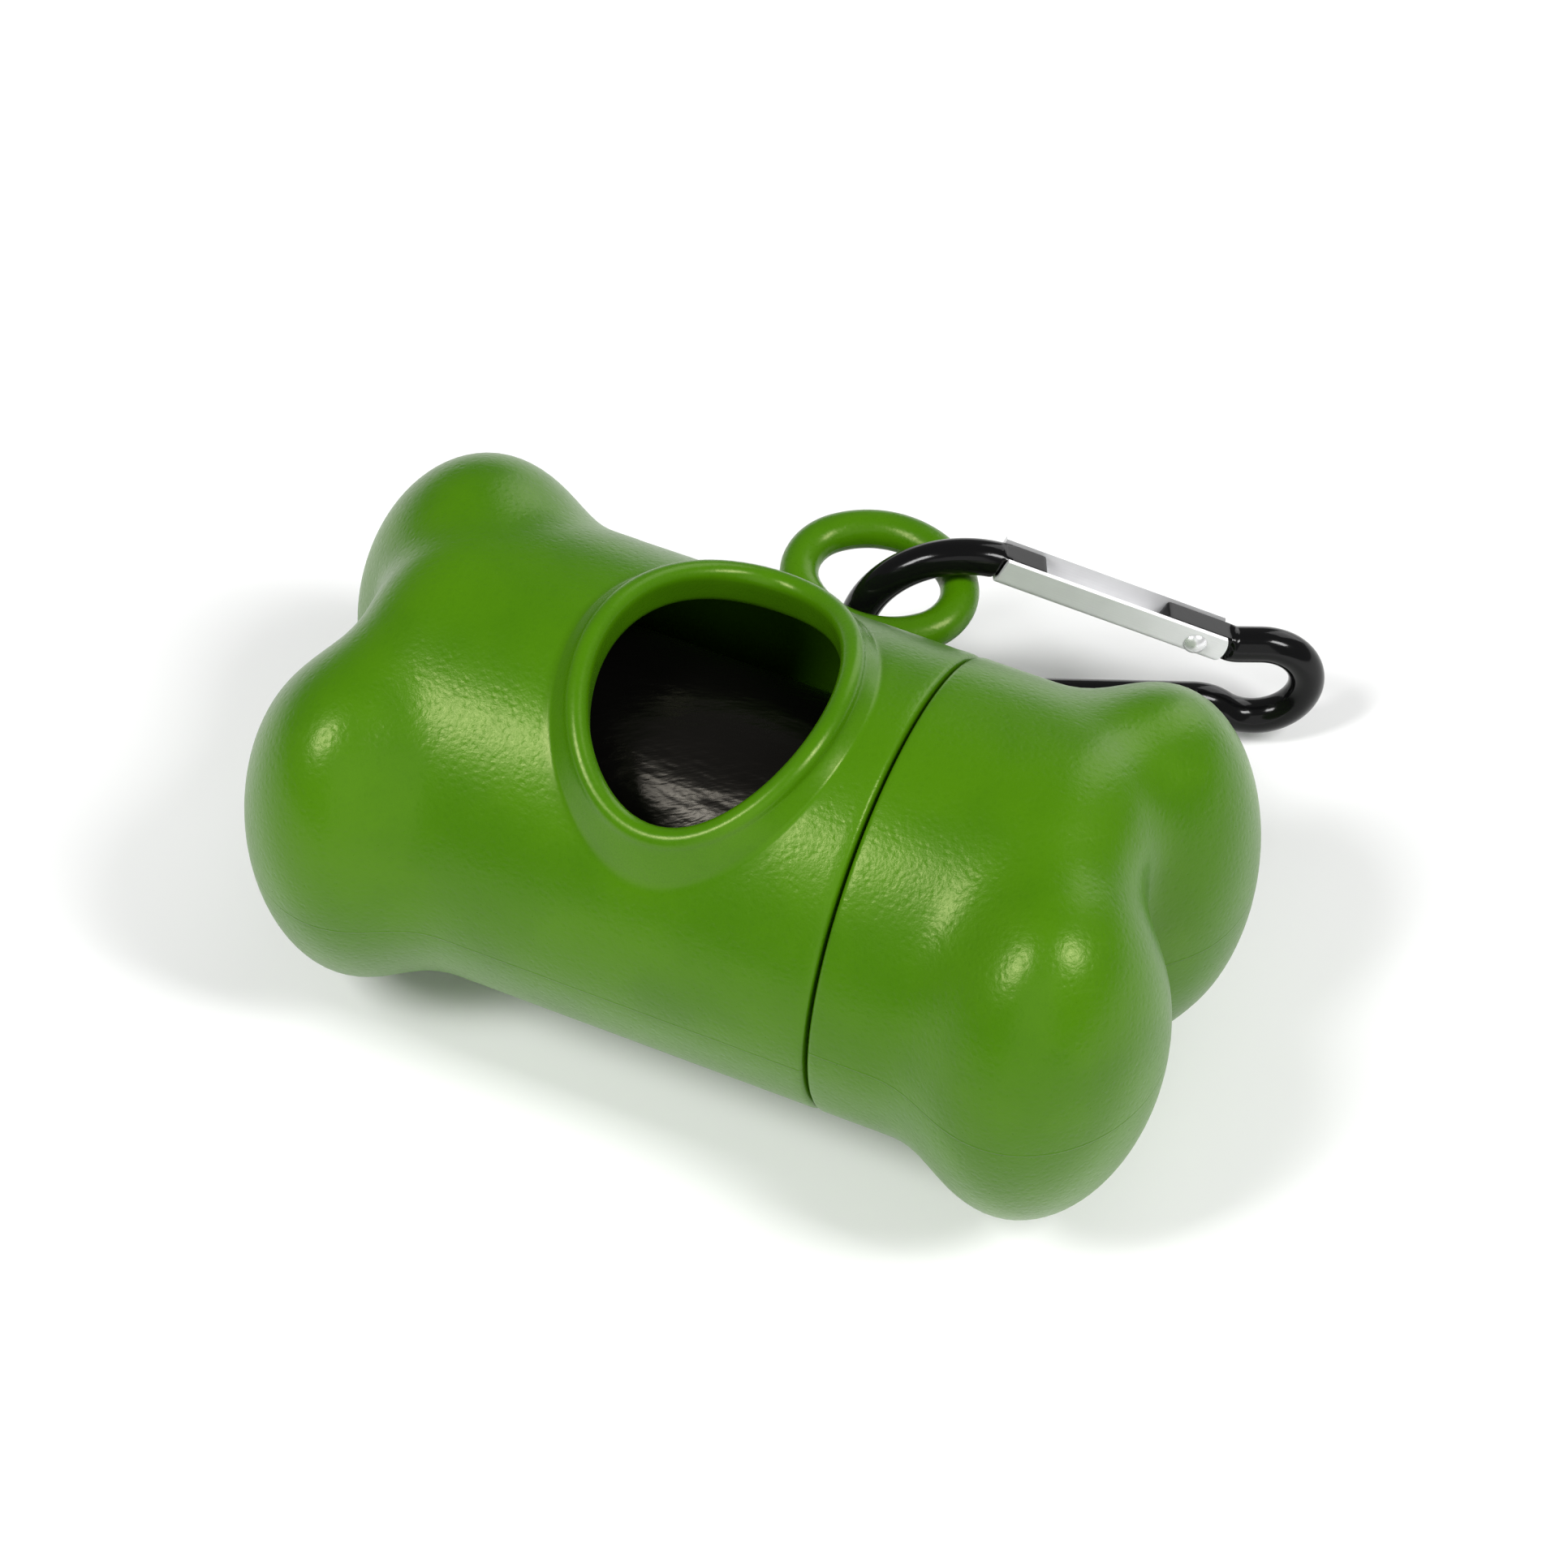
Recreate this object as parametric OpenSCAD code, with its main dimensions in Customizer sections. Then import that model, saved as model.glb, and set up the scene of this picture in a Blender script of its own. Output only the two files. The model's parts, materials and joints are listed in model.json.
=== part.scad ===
// Bone-shaped dispenser for rolls of waste bags, with a screw-on end and a clip.
// The tube lies along X with its axis through the origin, and the mouth looks up.

/* [Bone] */
// Outer diameter of the straight tube
tube_d = 40; // [36:0.5:48]
// Distance from the middle of the bone to the flat of either end
tube_half = 34.5; // [33:0.5:42]
// Rounding of the tube's end edges
end_round = 8; // [6:0.5:10]
// Distance of the knuckle centres in from the end's flat
knuckle_in = 3.5; // [2:0.5:5]
// Distance of the knuckle centres in from the tube's side
knuckle_under = 8.5; // [6:0.5:10]
// Half length of a knuckle along the bone
knuckle_rx = 9.5; // [8:0.25:11]
// Half width of a knuckle across the bone
knuckle_ry = 11.7; // [10:0.1:14]
// Half height of a knuckle
knuckle_rz = 17.6; // [15:0.1:21]
// Turn of each knuckle towards the end, in degrees
knuckle_turn = 15; // [0:1:20]
// Width of the soft blend between a knuckle and the tube
blend_w = 3.8; // [2:0.1:5]
// Wall of the moulded shells
wall = 1.6; // [1.2:0.1:2.2]

/* [Screw joint] */
// Distance of the seam between the two shells from the middle
seam_x = 13.5; // [10:0.5:15]
// Gap between the two shells at the seam
seam_gap = 0.3; // [0.2:0.05:0.5]
// Length of the threaded neck past the seam
neck_l = 8; // [6:0.5:10]
// Wall of the neck
neck_wall = 1.4; // [1.2:0.1:2]
// Radial clearance between the neck and the cap
neck_fit = 0.15; // [0.1:0.05:0.3]
// How far the tight cap has turned past the body's knuckles, in degrees
cap_turn = 8.5; // [0:0.5:20]

/* [Mouth] */
// Centre of the mouth along the bone
mouth_x = -2.6; // [-4:0.2:0]
// Half length of the lip's middle line, along the bone
mouth_rx = 10.6; // [8:0.2:11.4]
// Half width of the lip's middle line, across the bone
mouth_ry = 13.6; // [10:0.2:14]
// Thickness of the lip
lip_w = 2; // [1.6:0.1:2.6]
// Height of the lip over the tube
lip_h = 2; // [1.2:0.1:3]
// Flare of the lip's foot
foot_w = 1.2; // [0.6:0.1:1.6]

/* [Eyelet] */
// Centre of the eyelet along the bone
eye_x = -0.5; // [-3:0.5:3]
// Gap between the tube and the eyelet's near wire
eye_gap = 0.75; // [0.4:0.05:1.5]
// Half length of the eyelet's wire line, along the bone
eye_rx = 7.2; // [6:0.1:8]
// Half width of the eyelet's wire line, away from the bone
eye_ry = 5.6; // [5:0.1:6]
// Wire diameter of the eyelet
eye_wire = 3.4; // [3:0.1:3.6]

/* [Bag roll] */
// Diameter of the wound roll
roll_d = 28.4; // [24:0.2:30]
// Length of the roll
roll_l = 57; // [50:1:60]
// Gap between the roll and the closed end
roll_end_gap = 2.4; // [1:0.1:5]
// Outer diameter of the paper core
core_d = 13; // [10:0.5:16]
// Wall of the paper core
core_wall = 0.7; // [0.5:0.1:1.2]

/* [Clip] */
// Rod diameter of the clip
rod_d = 3.2; // [2.8:0.1:3.4]
// Radius of the hook's round back
hook_r = 9.3; // [8.5:0.1:11]
// Radius of the bend from the hook into the spine
low_r = 7.6; // [6.5:0.1:8.2]
// Rise of the spine towards the gate, in degrees
spine_rise = 24; // [20:1:26]
// Radius of the spine's waist
waist_r = 4; // [3:0.5:5]
// Radius of the small round end
tail_r = 4.45; // [4:0.05:5]
// Centre of the small round end, along the gate from the hook's centre
tail_x = 26.3; // [25.5:0.1:30]
// Distance of the gate's pivot from the hook's centre
pivot_x = 18.2; // [16:0.1:18.6]
// Length of the gate ahead of its pivot
gate_l = 19.3; // [17:0.1:19.5]
// Reach of the gate's tail behind its pivot
gate_tail = 3; // [2.6:0.1:3.2]
// Outer width of the gate's channel
gate_w = 3.4; // [3:0.1:3.8]
// Depth of the gate's channel
gate_h = 2.9; // [2.6:0.1:3.2]
// Sheet thickness of the gate
sheet_t = 0.45; // [0.3:0.05:0.6]
// How far the gate opens, in degrees
gate_open = 18; // [12:1:22]
// Diameter of the rivet's shank
rivet_d = 1.2; // [1:0.1:1.4]

/* [Hang] */
// Gap left between the hook and the wire it hangs on
hang_gap = 0.3; // [0.1:0.05:0.6]
// Lean of the clip on its long axis, in degrees
hang_lean = 79.4; // [60:0.1:95]
// Droop of the clip's far end, in degrees
hang_droop = 27.8; // [10:0.1:40]
// Turn of the clip away from the bone, in degrees
hang_yaw = 20.1; // [5:0.1:40]

/* [Hidden] */
$fn = 64;
tube_r = tube_d / 2;
knuckle_x = tube_half - knuckle_in;
knuckle_y = tube_r - knuckle_under;
// the knuckled ends are a hair slimmer than the tube, so that they join inside its wall
join_trim = 0.08;
join_spare = 0.4;
join_x = knuckle_x - knuckle_rx - blend_w - join_spare;
join_lap = 0.5;
// the ends are measured by rays: square to the axis up to fan_x, then fanned from there
fan_in = 0.5;
fan_x = tube_half - end_round - fan_in;
rays_out = 64;
rays_in = 32;
ray_over = 12;
ray_max = tube_r + ray_over;
ray_steps = 15;
// the neck is stepped in from the inside of the wall, which leaves the cap's wall thicker there
neck_step = 0.4;
neck_r = tube_r - wall - neck_step;
neck_bore_r = neck_r - neck_wall;
shoulder_l = 2;
rim_steps = 60;
lip_r = lip_w / 2;
// the hole in the tube is cut inside the lip's thickness
hole_inset = 0.3;
eye_y = tube_r + eye_gap + eye_wire / 2 + eye_ry;
// radius of the eyelet's ends, as a share of its half width
eye_end_share = 0.82;
eye_end_r = eye_ry * eye_end_share;
root_l = 9;
root_t = 2.6;
// the roll lies a hair over the neck's bore, and towards the closed end
roll_rest = 0.3;
roll_z = -(neck_bore_r - roll_d / 2 - roll_rest);
roll_x = roll_end_gap + roll_l / 2 - (tube_half - wall);
core_fit = 0.1;
rod_r = rod_d / 2;
// two runs of a bent bar stop this far short of each other's end, inside a ball
ball_gap = 0.1;
ball_swell = 0.03;
// the rod's ends are flattened to this, to run inside the gate's channel
side_play = 0.15;
web_play = 0.2;
edge_in = 0.15;
pivot_up = 0.95;
flat_t = gate_w - 2 * (sheet_t + side_play);
web_y = hook_r - gate_h / 2;
flat_low = web_y + sheet_t + web_play;
flat_top = web_y + gate_h - edge_in;
pivot_y = web_y + sheet_t + pivot_up;
nose_l = 4;
tang_l = 3.3;
shoulder_gap = 0.25;
channel_corner = 0.8;
rivet_fit = 0.04;
head_r = 1.05;
head_h = 0.55;
head_play = 0.05;
spring_behind = 1.75;
spring_x = pivot_x + spring_behind;
spring_wire = 0.2;
spring_r = 0.45;
spring_turns = 2.5;
spring_bore = 1.4;
spring_roof = 0.35;
spring_top = flat_top - spring_roof;
spring_end_gap = 0.05;
// the hook lies over the eyelet's wire: hang_up points from the wire's line to the rod's line
hang_up = [-0.15, 0.109, 0.983];
hang_from = [7.64, 1.0576, -9.1388];
hang = [eye_x, eye_y, 0] + hang_from + hang_up * ((rod_d + eye_wire) / 2 + hang_gap);
// the clip's rod, in its own frame: the hook, a bend, the spine, its waist and the round end
low_from = 200;
low_c = turned(hook_r - low_r, low_from);
spine_from = low_c + turned(low_r, 270 + spine_rise);
tail_under = 3;
tail_c = [tail_x, hook_r - tail_under];
// the waist's arc touches the spine's line and the round end
waist_0 = spine_from + waist_r * [sin(spine_rise), -cos(spine_rise)] - tail_c;
waist_b = waist_0 * turned(1, spine_rise);
waist_run = -waist_b - sqrt(pow(waist_b, 2) - waist_0 * waist_0 + pow(tail_r + waist_r, 2));
waist_c = tail_c + waist_0 + turned(waist_run, spine_rise);
tail_from = atan2(waist_c[1] - tail_c[1], waist_c[0] - tail_c[0]);
// where the rod leaves the round end, and where it turns back along the gate
leave_a = 115;
leave = tail_c + turned(tail_r, leave_a);
leave_run = (hook_r - leave[1]) / sin(leave_a + 90);
tang_from = leave + turned(leave_run, leave_a + 90);

function turned(r, a) = [r * cos(a), r * sin(a)];

// ---- the bone's outline as a distance field, x counted towards the end in hand ----

function knuckle_field(p) =
    let (q = [p[0] - knuckle_x, abs(p[1]) - knuckle_y],
         c = cos(knuckle_turn), s = sin(knuckle_turn),
         v = [q[0] * c + q[1] * s, q[1] * c - q[0] * s, p[2]],
         r = [knuckle_rx, knuckle_ry, knuckle_rz],
         a = norm([v[0] / r[0], v[1] / r[1], v[2] / r[2]]),
         b = norm([v[0] / pow(r[0], 2), v[1] / pow(r[1], 2), v[2] / pow(r[2], 2)]))
    a * (a - 1) / b;

function tube_field(p, r) =
    let (x = p[0] - (tube_half - end_round),
         y = norm([p[1], p[2]]) - (r - end_round))
    min(max(x, y), 0) + norm([max(x, 0), max(y, 0)]) - end_round;

function blend(a, b) =
    let (h = min(max(0.5 + (b - a) / (2 * blend_w), 0), 1))
    b * (1 - h) + a * h - blend_w * h * (1 - h);

function bone_field(p) = blend(tube_field(p, tube_r - join_trim), knuckle_field(p));

// distance from a point on the axis to the skin that lies depth below the outline
function reach(o, d, depth, low, high, steps) =
    steps == 0 ? (low + high) / 2
    : let (mid = (low + high) / 2)
      bone_field(o + d * mid) < -depth ? reach(o, d, depth, mid, high, steps - 1)
                                       : reach(o, d, depth, low, mid, steps - 1);

// stations along an end: [x of the ray's origin, angle of the ray to the axis]
function stations(straight, fan) = concat(
    [for (i = [0 : straight - 1])
        [join_x - join_lap + (fan_x - join_x + join_lap) * i / straight, 90]],
    [for (i = [0 : fan - 1]) [fan_x, 90 * (1 - i / fan)]]);

function skin_point(station, turn, depth) =
    let (o = [station[0], 0, 0], a = station[1],
         d = [cos(a), sin(a) * cos(turn), sin(a) * sin(turn)])
    o + d * reach(o, d, depth, 1, ray_max, ray_steps);

function skin(list, sides, depth) = concat(
    [for (s = list, j = [0 : sides - 1]) skin_point(s, 360 * j / sides, depth)],
    [skin_point([fan_x, 0], 0, depth)]);

// triangles between the rings of a skin, with its tip; first is the skin's first point
function band_faces(rings, sides, first, flip) =
    let (raw = concat(
        [for (i = [0 : rings - 2], j = [0 : sides - 1])
            let (a = first + i * sides + j, b = first + i * sides + (j + 1) % sides)
            [a, b, a + sides]],
        [for (i = [0 : rings - 2], j = [0 : sides - 1])
            let (a = first + i * sides + j, b = first + i * sides + (j + 1) % sides)
            [b, b + sides, a + sides]],
        [for (j = [0 : sides - 1])
            [first + (rings - 1) * sides + j,
             first + (rings - 1) * sides + (j + 1) % sides,
             first + rings * sides]]))
    [for (f = raw) flip ? [f[2], f[1], f[0]] : f];

// the flat ring at an end's open side; the outside has twice the inside's points
function edge_faces(first) = concat(
    [for (j = [0 : rays_in - 1])
        [first + j, 2 * j, 2 * j + 1]],
    [for (j = [0 : rays_in - 1])
        [first + j, 2 * j + 1, first + (j + 1) % rays_in]],
    [for (j = [0 : rays_in - 1])
        [first + (j + 1) % rays_in, 2 * j + 1, (2 * j + 2) % rays_out]]);

// one hollow knuckled end, on the +X side
module knuckled_end() {
    outer_stations = stations(6, 15);
    inner_stations = stations(4, 9);
    outer = skin(outer_stations, rays_out, 0);
    inner = skin(inner_stations, rays_in, wall);
    polyhedron(
        points = concat(outer, inner),
        faces = concat(
            band_faces(len(outer_stations), rays_out, 0, true),
            band_faces(len(inner_stations), rays_in, len(outer), false),
            edge_faces(len(outer))),
        convexity = 6);
}

module tube_ring(x0, x1, r_out, r_in) {
    translate([x0, 0, 0]) rotate([0, 90, 0]) difference() {
        cylinder(h = x1 - x0, r = r_out);
        translate([0, 0, -1]) cylinder(h = x1 - x0 + 2, r = r_in);
    }
}

// ---- the raised lip, swept round the mouth ----

function on_tube(r, y) = sqrt(max(r * r - y * y, 1));

// one section of the lip at a turn: points run round it, o is the distance outward
function lip_section(turn) =
    let (mid = [mouth_x + mouth_rx * cos(turn), mouth_ry * sin(turn)],
         out = [mouth_ry * cos(turn), mouth_rx * sin(turn)],
         dir = out / norm(out),
         at = function(o) mid + dir * o,
         crest = on_tube(tube_r + lip_h, mid[1]) - lip_r,
         foot = lip_r + foot_w,
         skin_z = function(o, r) on_tube(r, at(o)[1]),
         inside_r = tube_r - wall - 0.2,
         base = skin_z(foot, tube_r),
         pts = concat(
            [[-lip_r, skin_z(-lip_r, inside_r)]],
            [for (a = [180 : -30 : 0]) [lip_r * cos(a), crest + lip_r * sin(a)]],
            [[lip_r + foot_w * 0.12, crest * 0.5 + base * 0.5],
             [lip_r + foot_w * 0.42, crest * 0.15 + base * 0.85 + 0.1],
             [foot, base - 0.05],
             [foot - 0.2, skin_z(foot - 0.2, tube_r - 0.6)],
             [0.3, skin_z(0.3, tube_r - 0.8)],
             [-lip_r + 2 * hole_inset, skin_z(-lip_r + 2 * hole_inset, inside_r)]]))
    [for (p = pts) [at(p[0])[0], at(p[0])[1], p[1]]];

module lip() {
    sections = [for (i = [0 : rim_steps - 1]) lip_section(360 * i / rim_steps)];
    n = len(sections[0]);
    polyhedron(
        points = [for (s = sections, p = s) p],
        faces = concat(
            [for (i = [0 : rim_steps - 1], j = [0 : n - 1])
                let (k = (i + 1) % rim_steps, m = (j + 1) % n)
                [i * n + j, k * n + m, i * n + m]],
            [for (i = [0 : rim_steps - 1], j = [0 : n - 1])
                let (k = (i + 1) % rim_steps, m = (j + 1) % n)
                [i * n + j, k * n + j, k * n + m]]),
        convexity = 8);
}

module mouth_hole() {
    translate([mouth_x, 0, 0])
        scale([mouth_rx - lip_r + hole_inset, mouth_ry - lip_r + hole_inset, 1])
            cylinder(h = tube_r * 2, r = 1);
}

// ---- the eyelet: an oval of four arcs, with a root on the tube ----

// a round bar along an arc about c; it stops short of its ends, where a ball joins it
module bar_arc(c, r, from, to, bar_r) {
    short = asin(ball_gap / r);
    translate([c[0], c[1], 0]) rotate([0, 0, from + short])
        rotate_extrude(angle = to - from - 2 * short)
            translate([r, 0]) circle(r = bar_r);
}

module bar_run(from, heading, run, bar_r) {
    translate([from[0], from[1], 0]) rotate([0, 0, heading]) translate([ball_gap, 0, 0])
        rotate([0, 90, 0]) cylinder(h = run - 2 * ball_gap, r = bar_r);
}

module bar_ball(p, bar_r) {
    translate([p[0], p[1], 0]) sphere(r = bar_r + ball_swell);
}

module eyelet() {
    off = eye_rx - eye_end_r;
    // centre of the long arcs, so that they meet the end arcs smoothly
    drop = (pow(off, 2) - pow(eye_ry - eye_end_r, 2)) / (2 * (eye_ry - eye_end_r));
    meet = atan2(drop, off);
    wire_r = eye_wire / 2;
    translate([eye_x, eye_y, 0]) {
        bar_arc([off, 0], eye_end_r, -meet, meet, wire_r);
        bar_arc([-off, 0], eye_end_r, 180 - meet, 180 + meet, wire_r);
        bar_arc([0, -drop], eye_ry + drop, meet, 180 - meet, wire_r);
        bar_arc([0, drop], eye_ry + drop, 180 + meet, 360 - meet, wire_r);
        for (x = [-1, 1], y = [-1, 1])
            bar_ball([x * (off + eye_end_r * cos(meet)), y * eye_end_r * sin(meet)], wire_r);
    }
    translate([eye_x - root_l / 2, tube_r - wall / 2, -root_t / 2])
        cube([root_l, eye_gap + eye_wire / 2 + wall / 2, root_t]);
}

// ---- sub-parts ----

module main_shell() {
    color([0.24, 0.5, 0.1]) {
        difference() {
            union() {
                tube_ring(-join_x, seam_x, tube_r, tube_r - wall);
                eyelet();
            }
            mouth_hole();
        }
        tube_ring(seam_x - shoulder_l, seam_x, tube_r - wall / 2, neck_bore_r);
        tube_ring(seam_x - shoulder_l, seam_x + neck_l, neck_r, neck_bore_r);
        rotate([0, 0, 180]) knuckled_end();
        lip();
    }
}

module end_cap() {
    color([0.24, 0.5, 0.1]) rotate([-cap_turn, 0, 0]) {
        tube_ring(seam_x + seam_gap, join_x, tube_r, neck_r + neck_fit);
        knuckled_end();
    }
}

module bag_roll() {
    color([0.06, 0.06, 0.07]) translate([0, 0, roll_z])
        tube_ring(roll_x - roll_l / 2, roll_x + roll_l / 2, roll_d / 2, core_d / 2 + core_fit);
}

module roll_core() {
    color([0.72, 0.6, 0.44]) translate([0, 0, roll_z])
        tube_ring(roll_x - roll_l / 2, roll_x + roll_l / 2, core_d / 2, core_d / 2 - core_wall);
}

// the clip's own frame: origin at the hook's centre, X along the gate, Y towards it
module clip_frame() {
    translate(hang) rotate([hang_lean, hang_droop, hang_yaw]) children();
}

module clip_rod() {
    nose_run = pivot_x - gate_l + nose_l;
    tang_run = tang_from[0] - pivot_x + tang_l;
    bar_run([0, hook_r], 0, nose_run, rod_r);
    bar_arc([0, 0], hook_r, 90, low_from, rod_r);
    bar_arc(low_c, low_r, low_from, 270 + spine_rise, rod_r);
    bar_run(spine_from, spine_rise, waist_run, rod_r);
    bar_arc(waist_c, waist_r, tail_from + 180, 90 + spine_rise, rod_r);
    bar_arc(tail_c, tail_r, tail_from, leave_a, rod_r);
    bar_run(leave, leave_a + 90, leave_run, rod_r);
    bar_run(tang_from, 180, tang_run, rod_r);
    for (p = [[0, hook_r], turned(hook_r, low_from), spine_from,
              spine_from + turned(waist_run, spine_rise),
              tail_c + turned(tail_r, tail_from), leave, tang_from])
        bar_ball(p, rod_r);
}

// everything cut from the rod so that the gate's channel closes over it
module gate_clearance() {
    big = 2 * rod_d;
    nose_from = pivot_x - gate_l - shoulder_gap;
    for (z = [flat_t / 2, -flat_t / 2 - big]) {
        translate([nose_from, flat_low - rod_d, z])
            cube([pivot_x - nose_from, big + rod_d, big]);
        translate([pivot_x, pivot_y, z]) cylinder(h = big, r = gate_tail + shoulder_gap);
    }
    translate([nose_from, flat_low - rod_d, -big])
        cube([pivot_x - nose_from, rod_d, 2 * big]);
    translate([nose_from, flat_top, -big])
        cube([pivot_x + gate_tail - nose_from, big, 2 * big]);
    // room for the gate's tail as it swings up
    intersection() {
        translate([pivot_x, pivot_y, -big]) cylinder(h = 2 * big, r = gate_tail + shoulder_gap);
        translate([pivot_x, pivot_y, -big]) rotate([0, 0, gate_open])
            translate([-big, flat_low - pivot_y - big, 0]) cube([2 * big, big, 2 * big]);
    }
}

module carabiner_body() {
    color([0.05, 0.05, 0.06]) clip_frame() difference() {
        clip_rod();
        gate_clearance();
        translate([pivot_x, pivot_y, -rod_d])
            cylinder(h = 2 * rod_d, r = rivet_d / 2 + rivet_fit / 2);
        translate([spring_x, web_y, 0]) rotate([-90, 0, 0])
            cylinder(h = spring_top - web_y, d = spring_bore);
    }
}

// outline of a channel's section, open at the top, with round lower corners
module channel_outline(w, depth, corner) {
    translate([-w / 2, corner]) square([w, depth - corner]);
    translate([-w / 2 + corner, 0]) square([w - 2 * corner, corner + 0.01]);
    for (side = [-1, 1]) translate([side * (w / 2 - corner), corner]) circle(r = corner);
}

module carabiner_gate() {
    color([0.8, 0.8, 0.82]) clip_frame() difference() {
        intersection() {
            translate([pivot_x - gate_l, web_y, 0]) rotate([0, 90, 0])
                linear_extrude(height = gate_l + gate_tail) difference() {
                    channel_outline(gate_w, gate_h, channel_corner);
                    translate([0, sheet_t])
                        channel_outline(gate_w - 2 * sheet_t, gate_h,
                                        channel_corner - sheet_t);
                }
            union() {
                translate([pivot_x - gate_l - 1, web_y - 1, -gate_w])
                    cube([gate_l + 1, gate_h + 2, 2 * gate_w]);
                translate([pivot_x, pivot_y, -gate_w]) cylinder(h = 2 * gate_w, r = gate_tail);
            }
        }
        translate([pivot_x, pivot_y, -gate_w])
            cylinder(h = 2 * gate_w, r = rivet_d / 2 + rivet_fit);
    }
}

module gate_rivet() {
    ball_r = (pow(head_r, 2) + pow(head_h, 2)) / (2 * head_h);
    seat = gate_w / 2 + head_play;
    color([0.84, 0.84, 0.86]) clip_frame() translate([pivot_x, pivot_y, 0]) {
        translate([0, 0, -seat]) cylinder(h = 2 * seat, r = rivet_d / 2);
        for (side = [0, 180]) rotate([side, 0, 0]) intersection() {
            translate([0, 0, seat + head_h - ball_r]) sphere(r = ball_r);
            translate([0, 0, seat]) cylinder(h = head_h + 1, r = head_r + 1);
        }
    }
}

module gate_spring() {
    sides = 6;
    per_turn = 10;
    steps = spring_turns * per_turn;
    low = web_y + sheet_t + spring_wire / 2 + spring_end_gap;
    high = spring_top - spring_wire / 2 - spring_end_gap;
    ring = function(i) let (a = 360 * i / per_turn, y = low + (high - low) * i / steps)
        [for (j = [0 : sides - 1]) let (b = 360 * j / sides, r = spring_r + spring_wire / 2 * cos(b))
            [spring_x + r * cos(a), y + spring_wire / 2 * sin(b), r * sin(a)]];
    color([0.62, 0.63, 0.65]) clip_frame() polyhedron(
        points = [for (i = [0 : steps], p = ring(i)) p],
        faces = concat(
            [[for (j = [0 : sides - 1]) j]],
            [for (i = [0 : steps - 1], j = [0 : sides - 1])
                let (m = (j + 1) % sides, a = i * sides)
                [a + j, a + sides + j, a + sides + m]],
            [for (i = [0 : steps - 1], j = [0 : sides - 1])
                let (m = (j + 1) % sides, a = i * sides)
                [a + j, a + sides + m, a + m]],
            [[for (j = [sides - 1 : -1 : 0]) steps * sides + j]]),
        convexity = 6);
}

main_shell();
end_cap();
bag_roll();
roll_core();
carabiner_body();
carabiner_gate();
gate_rivet();
gate_spring();
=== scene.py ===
import json
import math

import bmesh
import bpy
import numpy as np
from bpy.props import FloatProperty, FloatVectorProperty, PointerProperty
from mathutils import Euler, Matrix, Vector


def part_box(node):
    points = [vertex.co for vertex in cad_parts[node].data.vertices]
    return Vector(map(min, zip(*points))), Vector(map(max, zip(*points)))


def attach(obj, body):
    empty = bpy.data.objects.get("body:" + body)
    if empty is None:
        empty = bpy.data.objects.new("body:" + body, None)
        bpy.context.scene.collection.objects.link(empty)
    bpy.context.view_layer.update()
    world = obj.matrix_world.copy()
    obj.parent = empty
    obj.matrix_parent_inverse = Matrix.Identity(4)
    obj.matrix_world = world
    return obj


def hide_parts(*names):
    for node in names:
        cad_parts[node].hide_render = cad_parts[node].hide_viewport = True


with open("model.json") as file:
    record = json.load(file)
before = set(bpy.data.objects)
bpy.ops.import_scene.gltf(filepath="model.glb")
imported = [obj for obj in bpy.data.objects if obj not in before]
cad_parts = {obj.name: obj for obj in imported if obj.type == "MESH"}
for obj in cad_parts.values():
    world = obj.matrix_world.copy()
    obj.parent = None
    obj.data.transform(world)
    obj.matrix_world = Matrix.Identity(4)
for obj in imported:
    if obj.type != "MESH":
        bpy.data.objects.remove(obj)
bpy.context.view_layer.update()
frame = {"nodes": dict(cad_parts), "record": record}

bl_info = {
    "name": "Bone Bag Dispenser",
    "version": (1, 0, 0),
    "blender": (4, 5, 0),
    "location": "3D View > Sidebar > Dispenser",
    "description": "Builds the bone-shaped bag dispenser, its roll and its clip on the CAD frame",
    "category": "Object",
}

MM = 0.001
ROLL_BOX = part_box("bag_roll")
CORE_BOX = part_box("roll_core")


# ---- sizes and colours ----

def length(name, description, value):
    return FloatProperty(name=name, description=description, default=value * MM,
                         unit="LENGTH", subtype="DISTANCE", precision=5)


def angle(name, description, degrees):
    return FloatProperty(name=name, description=description, default=math.radians(degrees),
                         unit="ROTATION", subtype="ANGLE")


def colour(name, description, value):
    return FloatVectorProperty(name=name, description=description, default=value,
                               subtype="COLOR", size=3, min=0.0, max=1.0)


def share(name, description, value):
    return FloatProperty(name=name, description=description, default=value,
                         subtype="FACTOR", min=0.0, max=1.0)


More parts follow.
